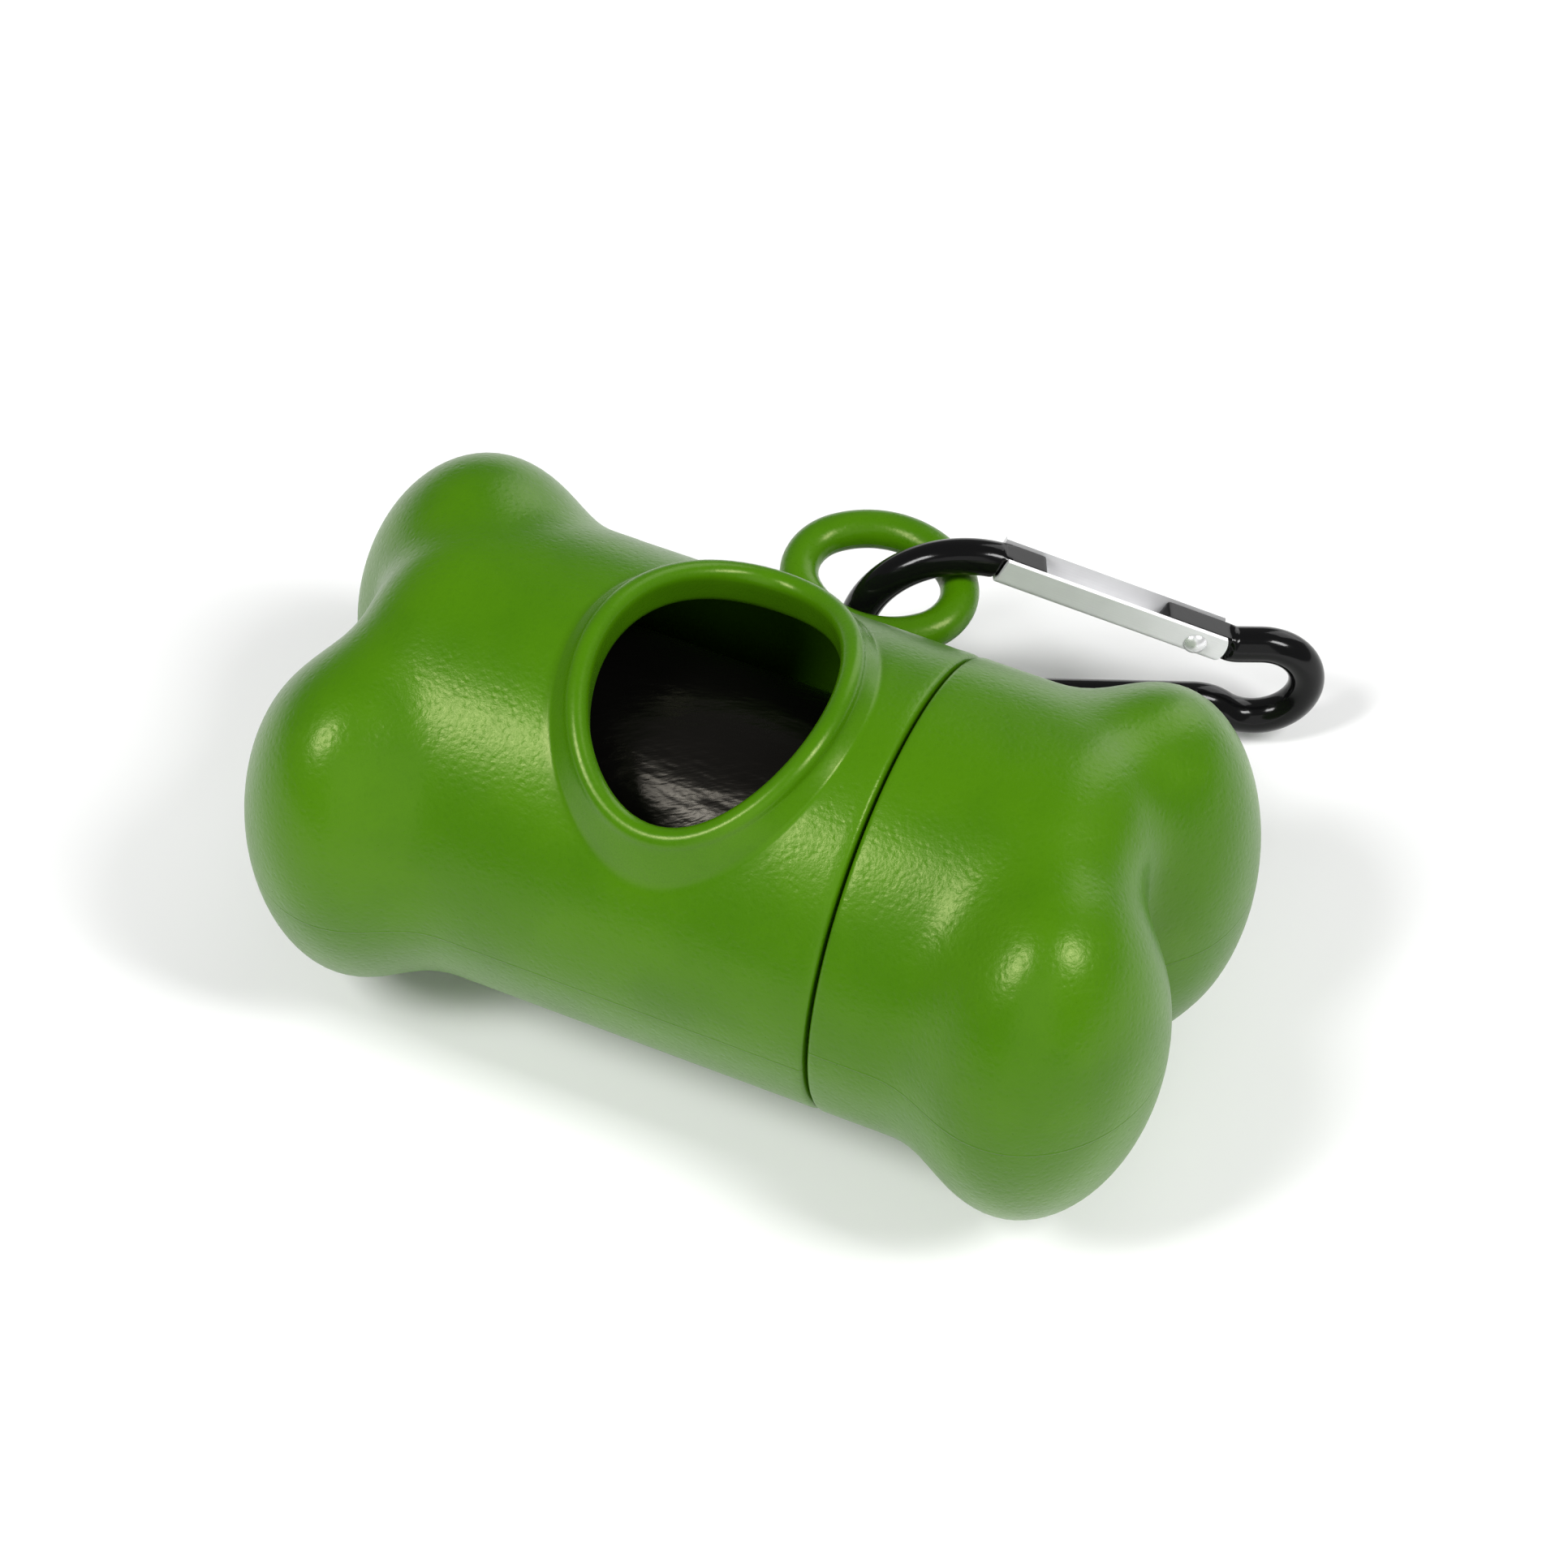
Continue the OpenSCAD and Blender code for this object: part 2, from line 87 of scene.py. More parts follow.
class BoneSizes(bpy.types.PropertyGroup):
    tube_r: length("Tube radius", "Outer radius of the straight tube", 20)
    tube_half: length("Half length", "Middle of the bone to the flat of either end", 34.5)
    end_round: length("End rounding", "Rounding of the tube's end edges", 8)
    knuckle_x: length("Knuckle place", "Knuckle centres from the middle, along the bone", 31)
    knuckle_y: length("Knuckle spread", "Knuckle centres from the tube's axis", 11.5)
    knuckle: FloatVectorProperty(name="Knuckle radii", description="Half sizes of a knuckle",
                                 default=(9.5 * MM, 11.7 * MM, 17.6 * MM), unit="LENGTH")
    knuckle_turn: angle("Knuckle turn", "Turn of each knuckle towards the end", 15)
    blend: length("Blend", "Width of the soft blend between a knuckle and the tube", 3.8)
    wall: length("Wall", "Wall of the moulded shells", 1.6)
    seam_x: length("Seam", "Seam between the two shells, from the middle", 13.5)
    seam_gap: length("Seam gap", "Gap between the two shells", 0.3)
    neck_r: length("Neck radius", "Crest radius of the threaded neck", 18)
    neck_bore: length("Neck bore", "Inner radius of the neck", 16.6)
    neck_l: length("Neck length", "Length of the neck past the seam", 8)
    cap_bore: length("Cap bore", "Inner radius of the cap over the neck", 18.15)
    pitch: length("Thread pitch", "Pitch of the single thread", 3)
    thread: length("Thread depth", "Depth of the thread's groove", 0.45)
    cap_turn: angle("Cap turn", "How far the tight cap has turned past the body", 8.5)


class MouthSizes(bpy.types.PropertyGroup):
    x: length("Centre", "Centre of the mouth along the bone", -2.6)
    rx: length("Half length", "Half length of the lip's middle line", 10.6)
    ry: length("Half width", "Half width of the lip's middle line", 13.6)
    lip_r: length("Lip radius", "Radius of the lip's rounded crest", 1.0)
    lip_h: length("Lip height", "Height of the lip over the tube", 2)
    foot: length("Foot flare", "How far the lip's foot spreads on the tube", 1.2)


class EyeletSizes(bpy.types.PropertyGroup):
    x: length("Centre", "Centre of the eyelet along the bone", -0.5)
    y: length("Reach", "Centre of the eyelet from the tube's axis", 28.05)
    rx: length("Half length", "Half length of the wire's line", 7.2)
    ry: length("Half width", "Half width of the wire's line", 5.6)
    wire: length("Wire radius", "Radius of the eyelet's round wire", 1.7)


class ClipSizes(bpy.types.PropertyGroup):
    rod: length("Rod radius", "Radius of the clip's rod", 1.6)
    hook: length("Hook radius", "Radius of the hook's round back", 9.3)
    low: length("Bend radius", "Radius of the bend into the spine", 7.6)
    waist: length("Waist radius", "Radius of the spine's waist", 4)
    tail: length("End radius", "Radius of the small round end", 4.45)
    tail_x: length("End place", "Centre of the small round end along the gate", 26.3)
    tail_y: length("End rise", "Centre of the small round end across the gate", 6.3)
    rise: angle("Spine rise", "Rise of the spine towards the gate", 24)
    pivot_x: length("Pivot", "Gate's pivot from the hook's centre, along the gate", 18.2)
    pivot_y: length("Pivot height", "Gate's pivot from the hook's centre, across", 9.25)
    gate_l: length("Gate length", "Length of the gate ahead of its pivot", 19.3)
    gate_w: length("Gate width", "Outer width of the gate's channel", 3.4)
    gate_h: length("Gate depth", "Depth of the gate's channel", 2.9)
    sheet: length("Sheet", "Sheet thickness of the gate", 0.45)
    place: FloatVectorProperty(name="Place", description="Where the hook's centre hangs",
                               default=(6.6 * MM, 29.5 * MM, -5.6 * MM), unit="LENGTH")
    turn: FloatVectorProperty(name="Turn", description="Lean, droop and yaw of the hanging clip",
                              default=tuple(math.radians(a) for a in (79.4, 27.8, 20.1)),
                              subtype="EULER")


class Finishes(bpy.types.PropertyGroup):
    # The first green is the lighter tone of the shells' random mottle; the deep green is its deeper
    # tone and is also used as painted shade in the grain's pits and on the inside surfaces.
    green: colour("Green", "Moulded shell, in the light", (0.056, 0.176, 0.0006))
    green_deep: colour("Deep green", "Moulded shell, where the colour gathers", (0.037, 0.136, 0.0004))
    film: colour("Film", "Bag film on the roll", (0.0022, 0.0020, 0.0018))
    board: colour("Board", "Grey-brown board of the roll's core", (0.33, 0.235, 0.14))
    rod_black: colour("Rod black", "Coating of the clip's rod", (0.0035, 0.0035, 0.0037))
    metal: colour("Gate metal", "Bare aluminium of the gate and rivet", (0.90, 0.90, 0.91))
    steel: colour("Spring steel", "Wire of the gate's spring", (0.52, 0.53, 0.55))
    grain: share("Grain", "Strength of the shells' spark-eroded grain", 0.78)
    shell_rough: share("Shell roughness", "Roughness of the grained shells", 0.31)


class StageSettings(bpy.types.PropertyGroup):
    azimuth: angle("Azimuth", "Camera's turn round the object", 26.113)
    elevation: angle("Elevation", "Camera's height over the floor", 55.446)
    roll: angle("Roll", "Camera's roll", -2.521)
    pan: FloatVectorProperty(name="Pan", description="Offset of the view's centre", size=2,
                             default=(-2.692 * MM, -3.884 * MM), unit="LENGTH")
    distance: length("Distance", "Camera to the object", 409.126)
    lens: FloatProperty(name="Lens", description="Focal length on a 36 mm frame", default=111.945,
                        unit="CAMERA")
    floor_z: length("Floor", "Height of the floor under the object", -20.05)
    floor_half: FloatProperty(name="Floor size", description="Half width of the floor", default=4.0,
                              unit="LENGTH")
    power: FloatProperty(name="Light power", description="Power of each key softbox", default=4.1,
                         unit="POWER")
    sky: share("Room light", "Strength of the even room light", 0.20)


# ---- shader sums ----

class Value:
    """A shader socket that can be used in sums."""

    def __init__(self, paint, socket):
        self.paint, self.socket = paint, socket

    def sum(self, operation, *terms):
        return self.paint.add("ShaderNodeMath", {"operation": operation}, *terms)

    def __add__(self, other):
        return self.sum("ADD", self, other)

    def __radd__(self, other):
        return self.sum("ADD", other, self)

    def __sub__(self, other):
        return self.sum("SUBTRACT", self, other)

    def __rsub__(self, other):
        return self.sum("SUBTRACT", other, self)

    def __mul__(self, other):
        return self.sum("MULTIPLY", self, other)

    def __abs__(self):
        return self.sum("ABSOLUTE", self)

    def sine(self):
        return self.sum("SINE", self)

    def step(self, low, high):
        """A soft step from 0 at low to 1 at high."""
        return self.paint.add("ShaderNodeMapRange", {"interpolation_type": "SMOOTHSTEP"},
                              self, low, high, 0.0, 1.0)


class Paint:
    """A node material, built up by name."""

    def __init__(self, name):
        self.material = bpy.data.materials.new(name)
        self.material.use_nodes = True
        self.tree = self.material.node_tree
        self.tree.nodes.clear()

    def feed(self, socket, value):
        if isinstance(value, Value):
            self.tree.links.new(value.socket, socket)
        else:
            socket.default_value = value

    def add(self, kind, settings=None, *values, into=None, out=0):
        """One node: its settings first, then its inputs in order or by name."""
        node = self.tree.nodes.new(kind)
        for key, setting in (settings or {}).items():
            setattr(node, key, setting)
        for socket, value in zip(node.inputs, values):
            self.feed(socket, value)
        for key, value in (into or {}).items():
            self.feed(node.inputs[key], value)
        return Value(self, node.outputs[out])

    def place(self):
        return self.add("ShaderNodeTexCoord", out="Object")

    def turned(self, place, location=(0, 0, 0), rotation=(0, 0, 0), scale=(1, 1, 1)):
        """The place as seen from a frame that is itself moved and turned."""
        return self.add("ShaderNodeMapping", {"vector_type": "TEXTURE"}, into={
            "Vector": place, "Location": location, "Rotation": rotation, "Scale": scale})

    def parts(self, place):
        node = self.tree.nodes.new("ShaderNodeSeparateXYZ")
        self.feed(node.inputs[0], place)
        return [Value(self, socket) for socket in node.outputs]

    def noise(self, place, scale, detail=2.0, roughness=0.5):
        return self.add("ShaderNodeTexNoise", into={
            "Vector": place, "Scale": scale, "Detail": detail, "Roughness": roughness})

    def cells(self, place, scale):
        return self.add("ShaderNodeTexVoronoi", out="Distance", into={
            "Vector": place, "Scale": scale})

    def attribute(self, name):
        return self.add("ShaderNodeAttribute", {"attribute_name": name}, out="Fac")

    def mix(self, amount, first, second):
        """A mix of two colours."""
        node = self.tree.nodes.new("ShaderNodeMix")
        node.data_type = "RGBA"
        for index, value in ((0, amount), (6, first), (7, second)):
            if isinstance(value, tuple) and len(value) == 3:
                value = (*value, 1.0)
            self.feed(node.inputs[index], value)
        return Value(self, node.outputs[2])

    def bump(self, height, distance, strength=1.0, normal=None):
        into = {"Height": height, "Distance": distance, "Strength": strength}
        if normal is not None:
            into["Normal"] = normal
        return self.add("ShaderNodeBump", into=into)

    def finish(self, **into):
        """The surface itself; names are the shader's own, with _ for a space."""
        shader = self.add("ShaderNodeBsdfPrincipled", into={
            key.replace("_", " "): (*value, 1.0) if isinstance(value, tuple) else value
            for key, value in into.items()})
        output = self.tree.nodes.new("ShaderNodeOutputMaterial")
        self.feed(output.inputs["Surface"], shader)
        return self.material


# ---- mesh work ----

SHARP_EDGE = math.radians(38)


def ring_edges(mesh, ring):
    return [mesh.edges.get((a, b)) for a, b in zip(ring, ring[1:] + ring[:1])]


def first_ring(mesh, places):
    """A closed ring of vertices, one at each place."""
    made = bmesh.ops.create_circle(mesh, segments=len(places), radius=MM)["verts"]
    ring = [made[0]]
    while len(ring) < len(made):
        ring.append(next(e.other_vert(ring[-1]) for e in ring[-1].link_edges
                         if e.other_vert(ring[-1]) not in ring[-2:]))
    move(ring, places)
    return ring


def move(ring, places):
    for vertex, place in zip(ring, places):
        vertex.co = place


def next_ring(mesh, ring, places):
    """Extrudes a closed ring to new places, and returns the new ring in the same order."""
    made = bmesh.ops.extrude_edge_only(mesh, edges=ring_edges(mesh, ring))["geom"]
    fresh = {v for v in made if isinstance(v, bmesh.types.BMVert)}
    following = [next(e.other_vert(v) for e in v.link_edges if e.other_vert(v) in fresh)
                 for v in ring]
    move(following, places)
    return following


def loft(mesh, sections):
    """Rings through every section in turn."""
    rings = [first_ring(mesh, sections[0])]
    for places in sections[1:]:
        rings.append(next_ring(mesh, rings[-1], places))
    return rings


def close_ends(mesh, *rings):
    for ring in rings:
        bmesh.ops.contextual_create(mesh, geom=ring_edges(mesh, ring))


def settle(mesh, merge=1e-7):
    bmesh.ops.remove_doubles(mesh, verts=mesh.verts[:], dist=merge)
    bmesh.ops.recalc_face_normals(mesh, faces=mesh.faces[:])
    if mesh.calc_volume(signed=True) < 0:
        bmesh.ops.reverse_faces(mesh, faces=mesh.faces[:])


def as_object(name, mesh):
    """Puts a finished bmesh into the scene as an object."""
    data = bpy.data.meshes.new(name)
    mesh.to_mesh(data)
    mesh.free()
    obj = bpy.data.objects.new(name, data)
    bpy.context.scene.collection.objects.link(obj)
    return obj


def piece(name, mesh, material, body, replaces=()):
    """Makes an object of a finished mesh, on a body of the frame."""
    for edge in mesh.edges:
        edge.smooth = len(edge.link_faces) == 2 and edge.calc_face_angle(0.0) < SHARP_EDGE
    for face in mesh.faces:
        face.smooth = True
    obj = as_object(name, mesh)
    obj.data.materials.append(material)
    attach(obj, body)
    if replaces:
        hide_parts(*replaces)
    return obj


def shell_mesh():
    """An empty mesh with the shells' layers, which have to be there before the vertices."""
    mesh = bmesh.new()
    for name in ("polish", "inside", "mould_z"):
        mesh.verts.layers.float.new(name)
    return mesh


def mark(mesh, name, rings, value=1.0):
    """Writes a value to the vertices of some rings that the mouth has left there."""
    layer = mesh.verts.layers.float[name]
    for ring in rings:
        for vertex in ring:
            if vertex.is_valid:
                vertex[layer] = value


# ---- the bone's outline ----

AROUND = 160
TURNS = np.arange(AROUND) * 2 * math.pi / AROUND


def bone_field(place, bone):
    """Distance to the bone's skin, x counted towards the end in hand; below 0 inside."""
    x, y, z = place.T
    cosine, sine = math.cos(bone.knuckle_turn), math.sin(bone.knuckle_turn)
    along, across = x - bone.knuckle_x, np.abs(y) - bone.knuckle_y
    local = np.stack([along * cosine + across * sine, across * cosine - along * sine, z])
    radii = np.array(bone.knuckle)[:, None]
    first = np.linalg.norm(local / radii, axis=0)
    knuckle = first * (first - 1) / np.linalg.norm(local / radii ** 2, axis=0)
    over = x - (bone.tube_half - bone.end_round)
    out = np.hypot(y, z) - (bone.tube_r - bone.end_round)
    tube = (np.minimum(np.maximum(over, out), 0) - bone.end_round
            + np.hypot(np.maximum(over, 0), np.maximum(out, 0)))
    mixed = np.clip(0.5 + (knuckle - tube) / (2 * bone.blend), 0, 1)
    return knuckle * (1 - mixed) + tube * mixed - bone.blend * mixed * (1 - mixed)


def skin_ring(origin_x, slope, depth, bone, side):
    """A ring of the skin, found along rays from a point on the axis."""
    rays = np.stack([np.full(AROUND, math.cos(slope)), math.sin(slope) * np.sin(TURNS),
                     math.sin(slope) * np.cos(TURNS)], axis=1)
    start = np.array([origin_x, 0, 0])
    halvings, past_tube = 24, 12 * MM
    low, high = np.full(AROUND, MM), np.full(AROUND, bone.tube_r + past_tube)
    for _ in range(halvings):
        middle = (low + high) / 2
        inside = bone_field(start + rays * middle[:, None], bone) < -depth
        low, high = np.where(inside, middle, low), np.where(inside, high, middle)
    found = start + rays * low[:, None]
    return [Vector((side * p[0], p[1], p[2])) for p in found]


def end_rings(bone, depth, stations, side, fan=46):
    """Rings of an end's skin, from the tube to the pole."""
    fan_x = bone.tube_half - bone.end_round - 0.5 * MM
    rings = [skin_ring(x, math.pi / 2, depth, bone, side) for x in stations if x < fan_x]
    for step in range(fan + 1):
        rings.append(skin_ring(fan_x, math.pi / 2 * (1 - step / fan), depth, bone, side))
    return rings


def round_ring(x, radius):
    """A ring about the axis; its radius is a number or one value for each turn."""
    radius = np.broadcast_to(radius, (AROUND,))
    return [Vector((x, r * math.sin(a), r * math.cos(a))) for r, a in zip(radius, TURNS)]


def thread_span(bone):
    """Where the thread starts and ends on the neck, and in the cap round it."""
    plain = 0.5 * MM
    return bone.seam_x + plain, bone.seam_x + bone.neck_l - plain


def thread_rib(x, start, finish, pitch):
    """1 on the thread's rib and 0 between, faded out at the thread's two ends."""
    half_rib, flank = 0.30, 0.12
    phase = ((x - start) / pitch - TURNS / (2 * math.pi)) % 1.0
    rib = np.clip((half_rib - np.abs(phase - 0.5)) / flank, 0, 1)
    fade = min(1.0, max(0.0, (x - start) / MM)) * min(1.0, max(0.0, (finish - x) / MM))
    return rib * rib * (3 - 2 * rib) * fade


def steps(first, last, count):
    return [first + (last - first) * i / count for i in range(count + 1)]


# ---- the body's shell: knuckled end, tube, mouth, threaded neck and eyelet ----

# the rectangle of the tube's grid in which the mouth lies: rows along it, places to each side
ROWS, WIDE = 24, 27
# both shells' edges at the seam: back from the seam and in from the skin, in mm
SEAM_EDGE = ((0.40, 0), (0.20, 0.06), (0.06, 0.20), (0, 0.42))
# the eyelet's root: rise over the tube, half length and half height, in mm
EYELET_ROOT = ((-0.6, 6.1, 2.5), (0.0, 5.5, 2.0), (0.22, 5.0, 1.6), (0.55, 4.65, 1.38),
               (1.1, 4.5, 1.3), (1.8, 4.5, 1.25), (2.45, 4.4, 1.2))
# the lip's outside: share of its height, and share of the soft spread at its foot
LIP_RISE = ((0.006, 0.6), (0.022, 0.27), (0.055, 0), (0.13, 0), (0.24, 0), (0.37, 0), (0.51, 0),
            (0.65, 0), (0.79, 0), (0.92, 0))


def mouth_loop(rings, first_row):
    """The vertices round the rectangle of the tube in which the mouth lies."""
    row = lambda i, k: rings[first_row + i][k % AROUND]
    return ([row(0, k) for k in range(-WIDE, WIDE)] + [row(i, WIDE) for i in range(ROWS)]
            + [row(ROWS, k) for k in range(WIDE, -WIDE, -1)]
            + [row(i, -WIDE) for i in range(ROWS, 0, -1)])


def open_rectangle(mesh, rings, first_row):
    faces = []
    for i in range(first_row, first_row + ROWS):
        for k in range(-WIDE, WIDE):
            near, far = k % AROUND, (k + 1) % AROUND
            faces.append(mesh.faces.get((rings[i][near], rings[i][far],
                                         rings[i + 1][far], rings[i + 1][near])))
    bmesh.ops.delete(mesh, geom=faces, context="FACES")


def on_tube(radius, y):
    return math.sqrt(max(radius * radius - y * y, 0.0))


def mouth_sections(outer, inner, bone, mouth):
    """Rings from the tube's skin up over the lip and down to the inner skin."""
    half_x = (outer[0].x - outer[2 * WIDE + ROWS].x) / 2
    half_y = max(p.y for p in outer)
    inner_r = bone.tube_r - bone.wall
    turns = [math.atan2(p.y / half_y, (p.x - mouth.x) / half_x) for p in outer]
    directions = [Vector((mouth.ry * math.cos(t), mouth.rx * math.sin(t))).normalized()
                  for t in turns]
    middles = [Vector((mouth.x + mouth.rx * math.cos(t), mouth.ry * math.sin(t)))
               for t in turns]
    crests = [on_tube(bone.tube_r + mouth.lip_h, m.y) - mouth.lip_r for m in middles]

    def ring(out, height):
        """height gets the place in plan and the crest's level, and gives z."""
        places = []
        for middle, direction, crest in zip(middles, directions, crests):
            plan = middle + direction * out
            places.append(Vector((plan.x, plan.y, height(plan, crest))))
        return places

    def between(loop, target, amount, radius):
        places = []
        for here, there in zip(loop, target):
            plan = Vector((here.x, here.y)).lerp(Vector((there.x, there.y)), amount)
            places.append(Vector((plan.x, plan.y, on_tube(radius, plan.y))))
        return places

    tube_z = lambda plan, crest: on_tube(bone.tube_r, plan.y)
    inner_z = lambda plan, crest: on_tube(inner_r, plan.y)
    spread = 0.3 * MM
    foot_ring = ring(mouth.lip_r + mouth.foot + spread, tube_z)
    plain = [between(outer, foot_ring, a, bone.tube_r) for a in (0.22, 0.44, 0.66, 0.86)]
    plain.append(foot_ring)
    lip = []
    for rise, fillet in LIP_RISE:
        lip.append(ring(mouth.lip_r + mouth.foot * (1 - rise) ** 1.25 + spread * fillet,
                        lambda plan, crest, rise=rise:
                        tube_z(plan, crest) * (1 - rise) + crest * rise))
    for degrees in range(0, 181, 15):
        a = math.radians(degrees)
        lip.append(ring(mouth.lip_r * math.cos(a),
                        lambda plan, crest, a=a: crest + mouth.lip_r * math.sin(a)))
    edge = 0.4 * MM
    for amount in (0.3, 0.6, 0.9):
        lip.append(ring(-mouth.lip_r, lambda plan, crest, amount=amount:
                        crest * (1 - amount) + (inner_z(plan, crest) + edge) * amount))
    for degrees in (30, 60, 90):
        a = math.radians(degrees)
        lip.append(ring(-mouth.lip_r + edge * (1 - math.cos(a)), lambda plan, crest, a=a:
                        inner_z(plan, crest) + edge * (1 - math.sin(a))))
    last = lip[-1]
    inside = [between(last, inner, a, inner_r) for a in (0.25, 0.5, 0.75)] + [inner]
    return plain, lip, inside


def eyelet_rings(mesh, eyelet):
    """A round wire swept along an oval of four arcs."""
    end_r = eyelet.ry * 0.82
    off = eyelet.rx - end_r
    drop = (off ** 2 - (eyelet.ry - end_r) ** 2) / (2 * (eyelet.ry - end_r))
    meet = math.atan2(drop, off)
    arcs = [(off, 0, end_r, -meet, meet), (0, -drop, eyelet.ry + drop, meet, math.pi - meet),
            (-off, 0, end_r, math.pi - meet, math.pi + meet),
            (0, drop, eyelet.ry + drop, math.pi + meet, 2 * math.pi - meet)]
    sections = []
    for x, y, radius, start, finish in arcs:
        for turn in steps(start, finish, 24)[:-1]:
            out = Vector((math.cos(turn), math.sin(turn), 0))
            centre = Vector((eyelet.x + x, eyelet.y + y, 0)) + out * radius
            sections.append([centre + out * (eyelet.wire * math.cos(b))
                             + Vector((0, 0, eyelet.wire * math.sin(b)))
                             for b in steps(0, 2 * math.pi, 28)[:-1]])
    return loft(mesh, sections + [sections[0]])


def eyelet_root(mesh, eyelet, bone):
    """The short web that carries the wire, flared where it leaves the tube."""
    sections = []
    square_x, square_z = 0.35, 0.5
    for rise, half_x, half_z in EYELET_ROOT:
        places = []
        for b in steps(0, 2 * math.pi, 48)[:-1]:
            c, s = math.cos(b), math.sin(b)
            x = half_x * MM * math.copysign(abs(c) ** square_x, c)
            z = half_z * MM * math.copysign(abs(s) ** square_z, s)
            y = on_tube(bone.tube_r, z) + rise * MM
            places.append(Vector((eyelet.x + x, y, z)))
        sections.append(places)
    rings = loft(mesh, sections)
    close_ends(mesh, rings[0], rings[-1])
    return rings


def body_shell(bone, mouth, eyelet):
    mesh = shell_mesh()
    seam, tube_r, inner_r = bone.seam_x, bone.tube_r, bone.tube_r - bone.wall
    tube_end = -25.4 * MM
    row_x = steps(seam - 1.25 * MM, seam - 31.25 * MM, ROWS)
    tail_x = steps(row_x[-1], tube_end, 8)[1:]
    neck_end = seam + bone.neck_l
    outer = list(reversed(end_rings(bone, 0, [-x for x in tail_x], -1)))
    outer += [round_ring(x, tube_r) for x in reversed(row_x)]
    rows_out = len(outer) - ROWS - 1
    outer += [round_ring(seam - x * MM, tube_r - d * MM) for x, d in SEAM_EDGE]
    thread_from, thread_to = thread_span(bone)
    neck = [round_ring(seam, bone.neck_r + 0.1 * MM),
            round_ring(seam + 0.1 * MM, bone.neck_r - bone.thread)]
    for x in steps(thread_from, thread_to, 30):
        rib = thread_rib(x, thread_from, thread_to, bone.pitch)
        neck.append(round_ring(x, bone.neck_r - bone.thread * (1 - rib)))
    neck += [round_ring(neck_end - 0.15 * MM, bone.neck_r - bone.thread),
             round_ring(neck_end, bone.neck_r - bone.thread - 0.2 * MM),
             round_ring(neck_end, bone.neck_bore + 0.15 * MM),
             round_ring(neck_end - 0.15 * MM, bone.neck_bore)]
    neck += [round_ring(x, bone.neck_bore) for x in steps(neck_end - MM, seam - 1.9 * MM, 5)]
    neck += [round_ring(seam - 2 * MM, bone.neck_bore + 0.1 * MM),
             round_ring(seam - 2 * MM, inner_r - 0.2 * MM), round_ring(seam - 2.2 * MM, inner_r)]
    inner_from, inner_to = 9.9 * MM, -15.1 * MM
    inner = [round_ring(x, inner_r) for x in steps(inner_from, inner_to, ROWS)]
    inner += end_rings(bone, bone.wall, [-x for x in steps(inner_to, tube_end, 9)[1:]], -1)
    rings = loft(mesh, outer + neck + inner)
    rows_in = len(outer) + len(neck)
    # the rows run from the closed end on the outside, and towards it on the inside
    outside = list(reversed(rings[rows_out:rows_out + ROWS + 1]))
    inside = rings[rows_in:rows_in + ROWS + 1]
    for row in (outside, inside):
        open_rectangle(mesh, row, 0)
    loop_out, loop_in = mouth_loop(outside, 0), mouth_loop(inside, 0)
    plain, lip, under = mouth_sections([v.co.copy() for v in loop_out],
                                       [v.co.copy() for v in loop_in], bone, mouth)
    ring = loop_out
    for places in plain:
        ring = next_ring(mesh, ring, places)
    polished = [ring]
    for places in lip:
        ring = next_ring(mesh, ring, places)
        polished.append(ring)
    mark(mesh, "polish", polished)
    under_rings = []
    for places in under:
        ring = next_ring(mesh, ring, places)
        under_rings.append(ring)
    # The inside surfaces get less grain, and painted shade in the green.
    mark(mesh, "inside", rings[rows_in - 3:] + under_rings[1:])
    mark(mesh, "polish", rings[len(outer):rows_in])
    mark(mesh, "polish", eyelet_rings(mesh, eyelet), 0.55)
    mark(mesh, "polish", eyelet_root(mesh, eyelet, bone), 0.55)
    settle(mesh, 2e-6)
    return mesh


def cap_shell(bone):
    mesh = shell_mesh()
    start, tube_r, inner_r = bone.seam_x + bone.seam_gap, bone.tube_r, bone.tube_r - bone.wall
    bore_end = bone.seam_x + bone.neck_l + 0.6 * MM
    inner = list(reversed(end_rings(bone, bone.wall, steps(bore_end + 0.4 * MM, 25.6 * MM, 4), 1)))
    bore = [round_ring(bore_end + 0.2 * MM, inner_r), round_ring(bore_end, inner_r - 0.1 * MM),
            round_ring(bore_end - 0.1 * MM, bone.cap_bore)]
    thread_from, thread_to = thread_span(bone)
    for x in steps(thread_to, start + 0.5 * MM, 28):
        rib = thread_rib(x, thread_from, thread_to, bone.pitch)
        bore.append(round_ring(x, bone.cap_bore + bone.thread * rib))
    bore += [round_ring(start + 0.2 * MM, bone.cap_bore),
             round_ring(start, bone.cap_bore + 0.2 * MM)]
    outer = [round_ring(start + x * MM, tube_r - d * MM) for x, d in reversed(SEAM_EDGE)]
    outer += [round_ring(x, tube_r) for x in steps(start + MM, 17 * MM, 3)]
    outer += end_rings(bone, 0, steps(17.5 * MM, 25.6 * MM, 8), 1)
    rings = loft(mesh, inner + bore + outer)
    # The inside surfaces get less grain, and painted shade in the green.
    mark(mesh, "inside", rings[:len(inner)])
    mark(mesh, "polish", rings[len(inner):len(inner) + len(bore)])
    settle(mesh, 2e-6)
    mesh.transform(Matrix.Rotation(-bone.cap_turn, 4, "X"))
    return mesh


# ---- the roll of bags and its core ----

def roll_ring(x, radius, centre_z):
    return [p + Vector((0, 0, centre_z)) for p in round_ring(x, radius)]


def film_ripple(x, turns):
    """The soft, uneven skin of tightly wound film, in metres."""
    long_wave = np.sin(3 * turns + 40 * x) + 0.6 * np.sin(7 * turns - 90 * x + 1.3)
    short = np.sin(19 * turns + 150 * np.sin(60 * x)) * 0.35
    bands = np.sin(520 * x + 1.4 * np.sin(2 * turns)) * 0.45
    return (long_wave + short + bands) * 0.022 * MM


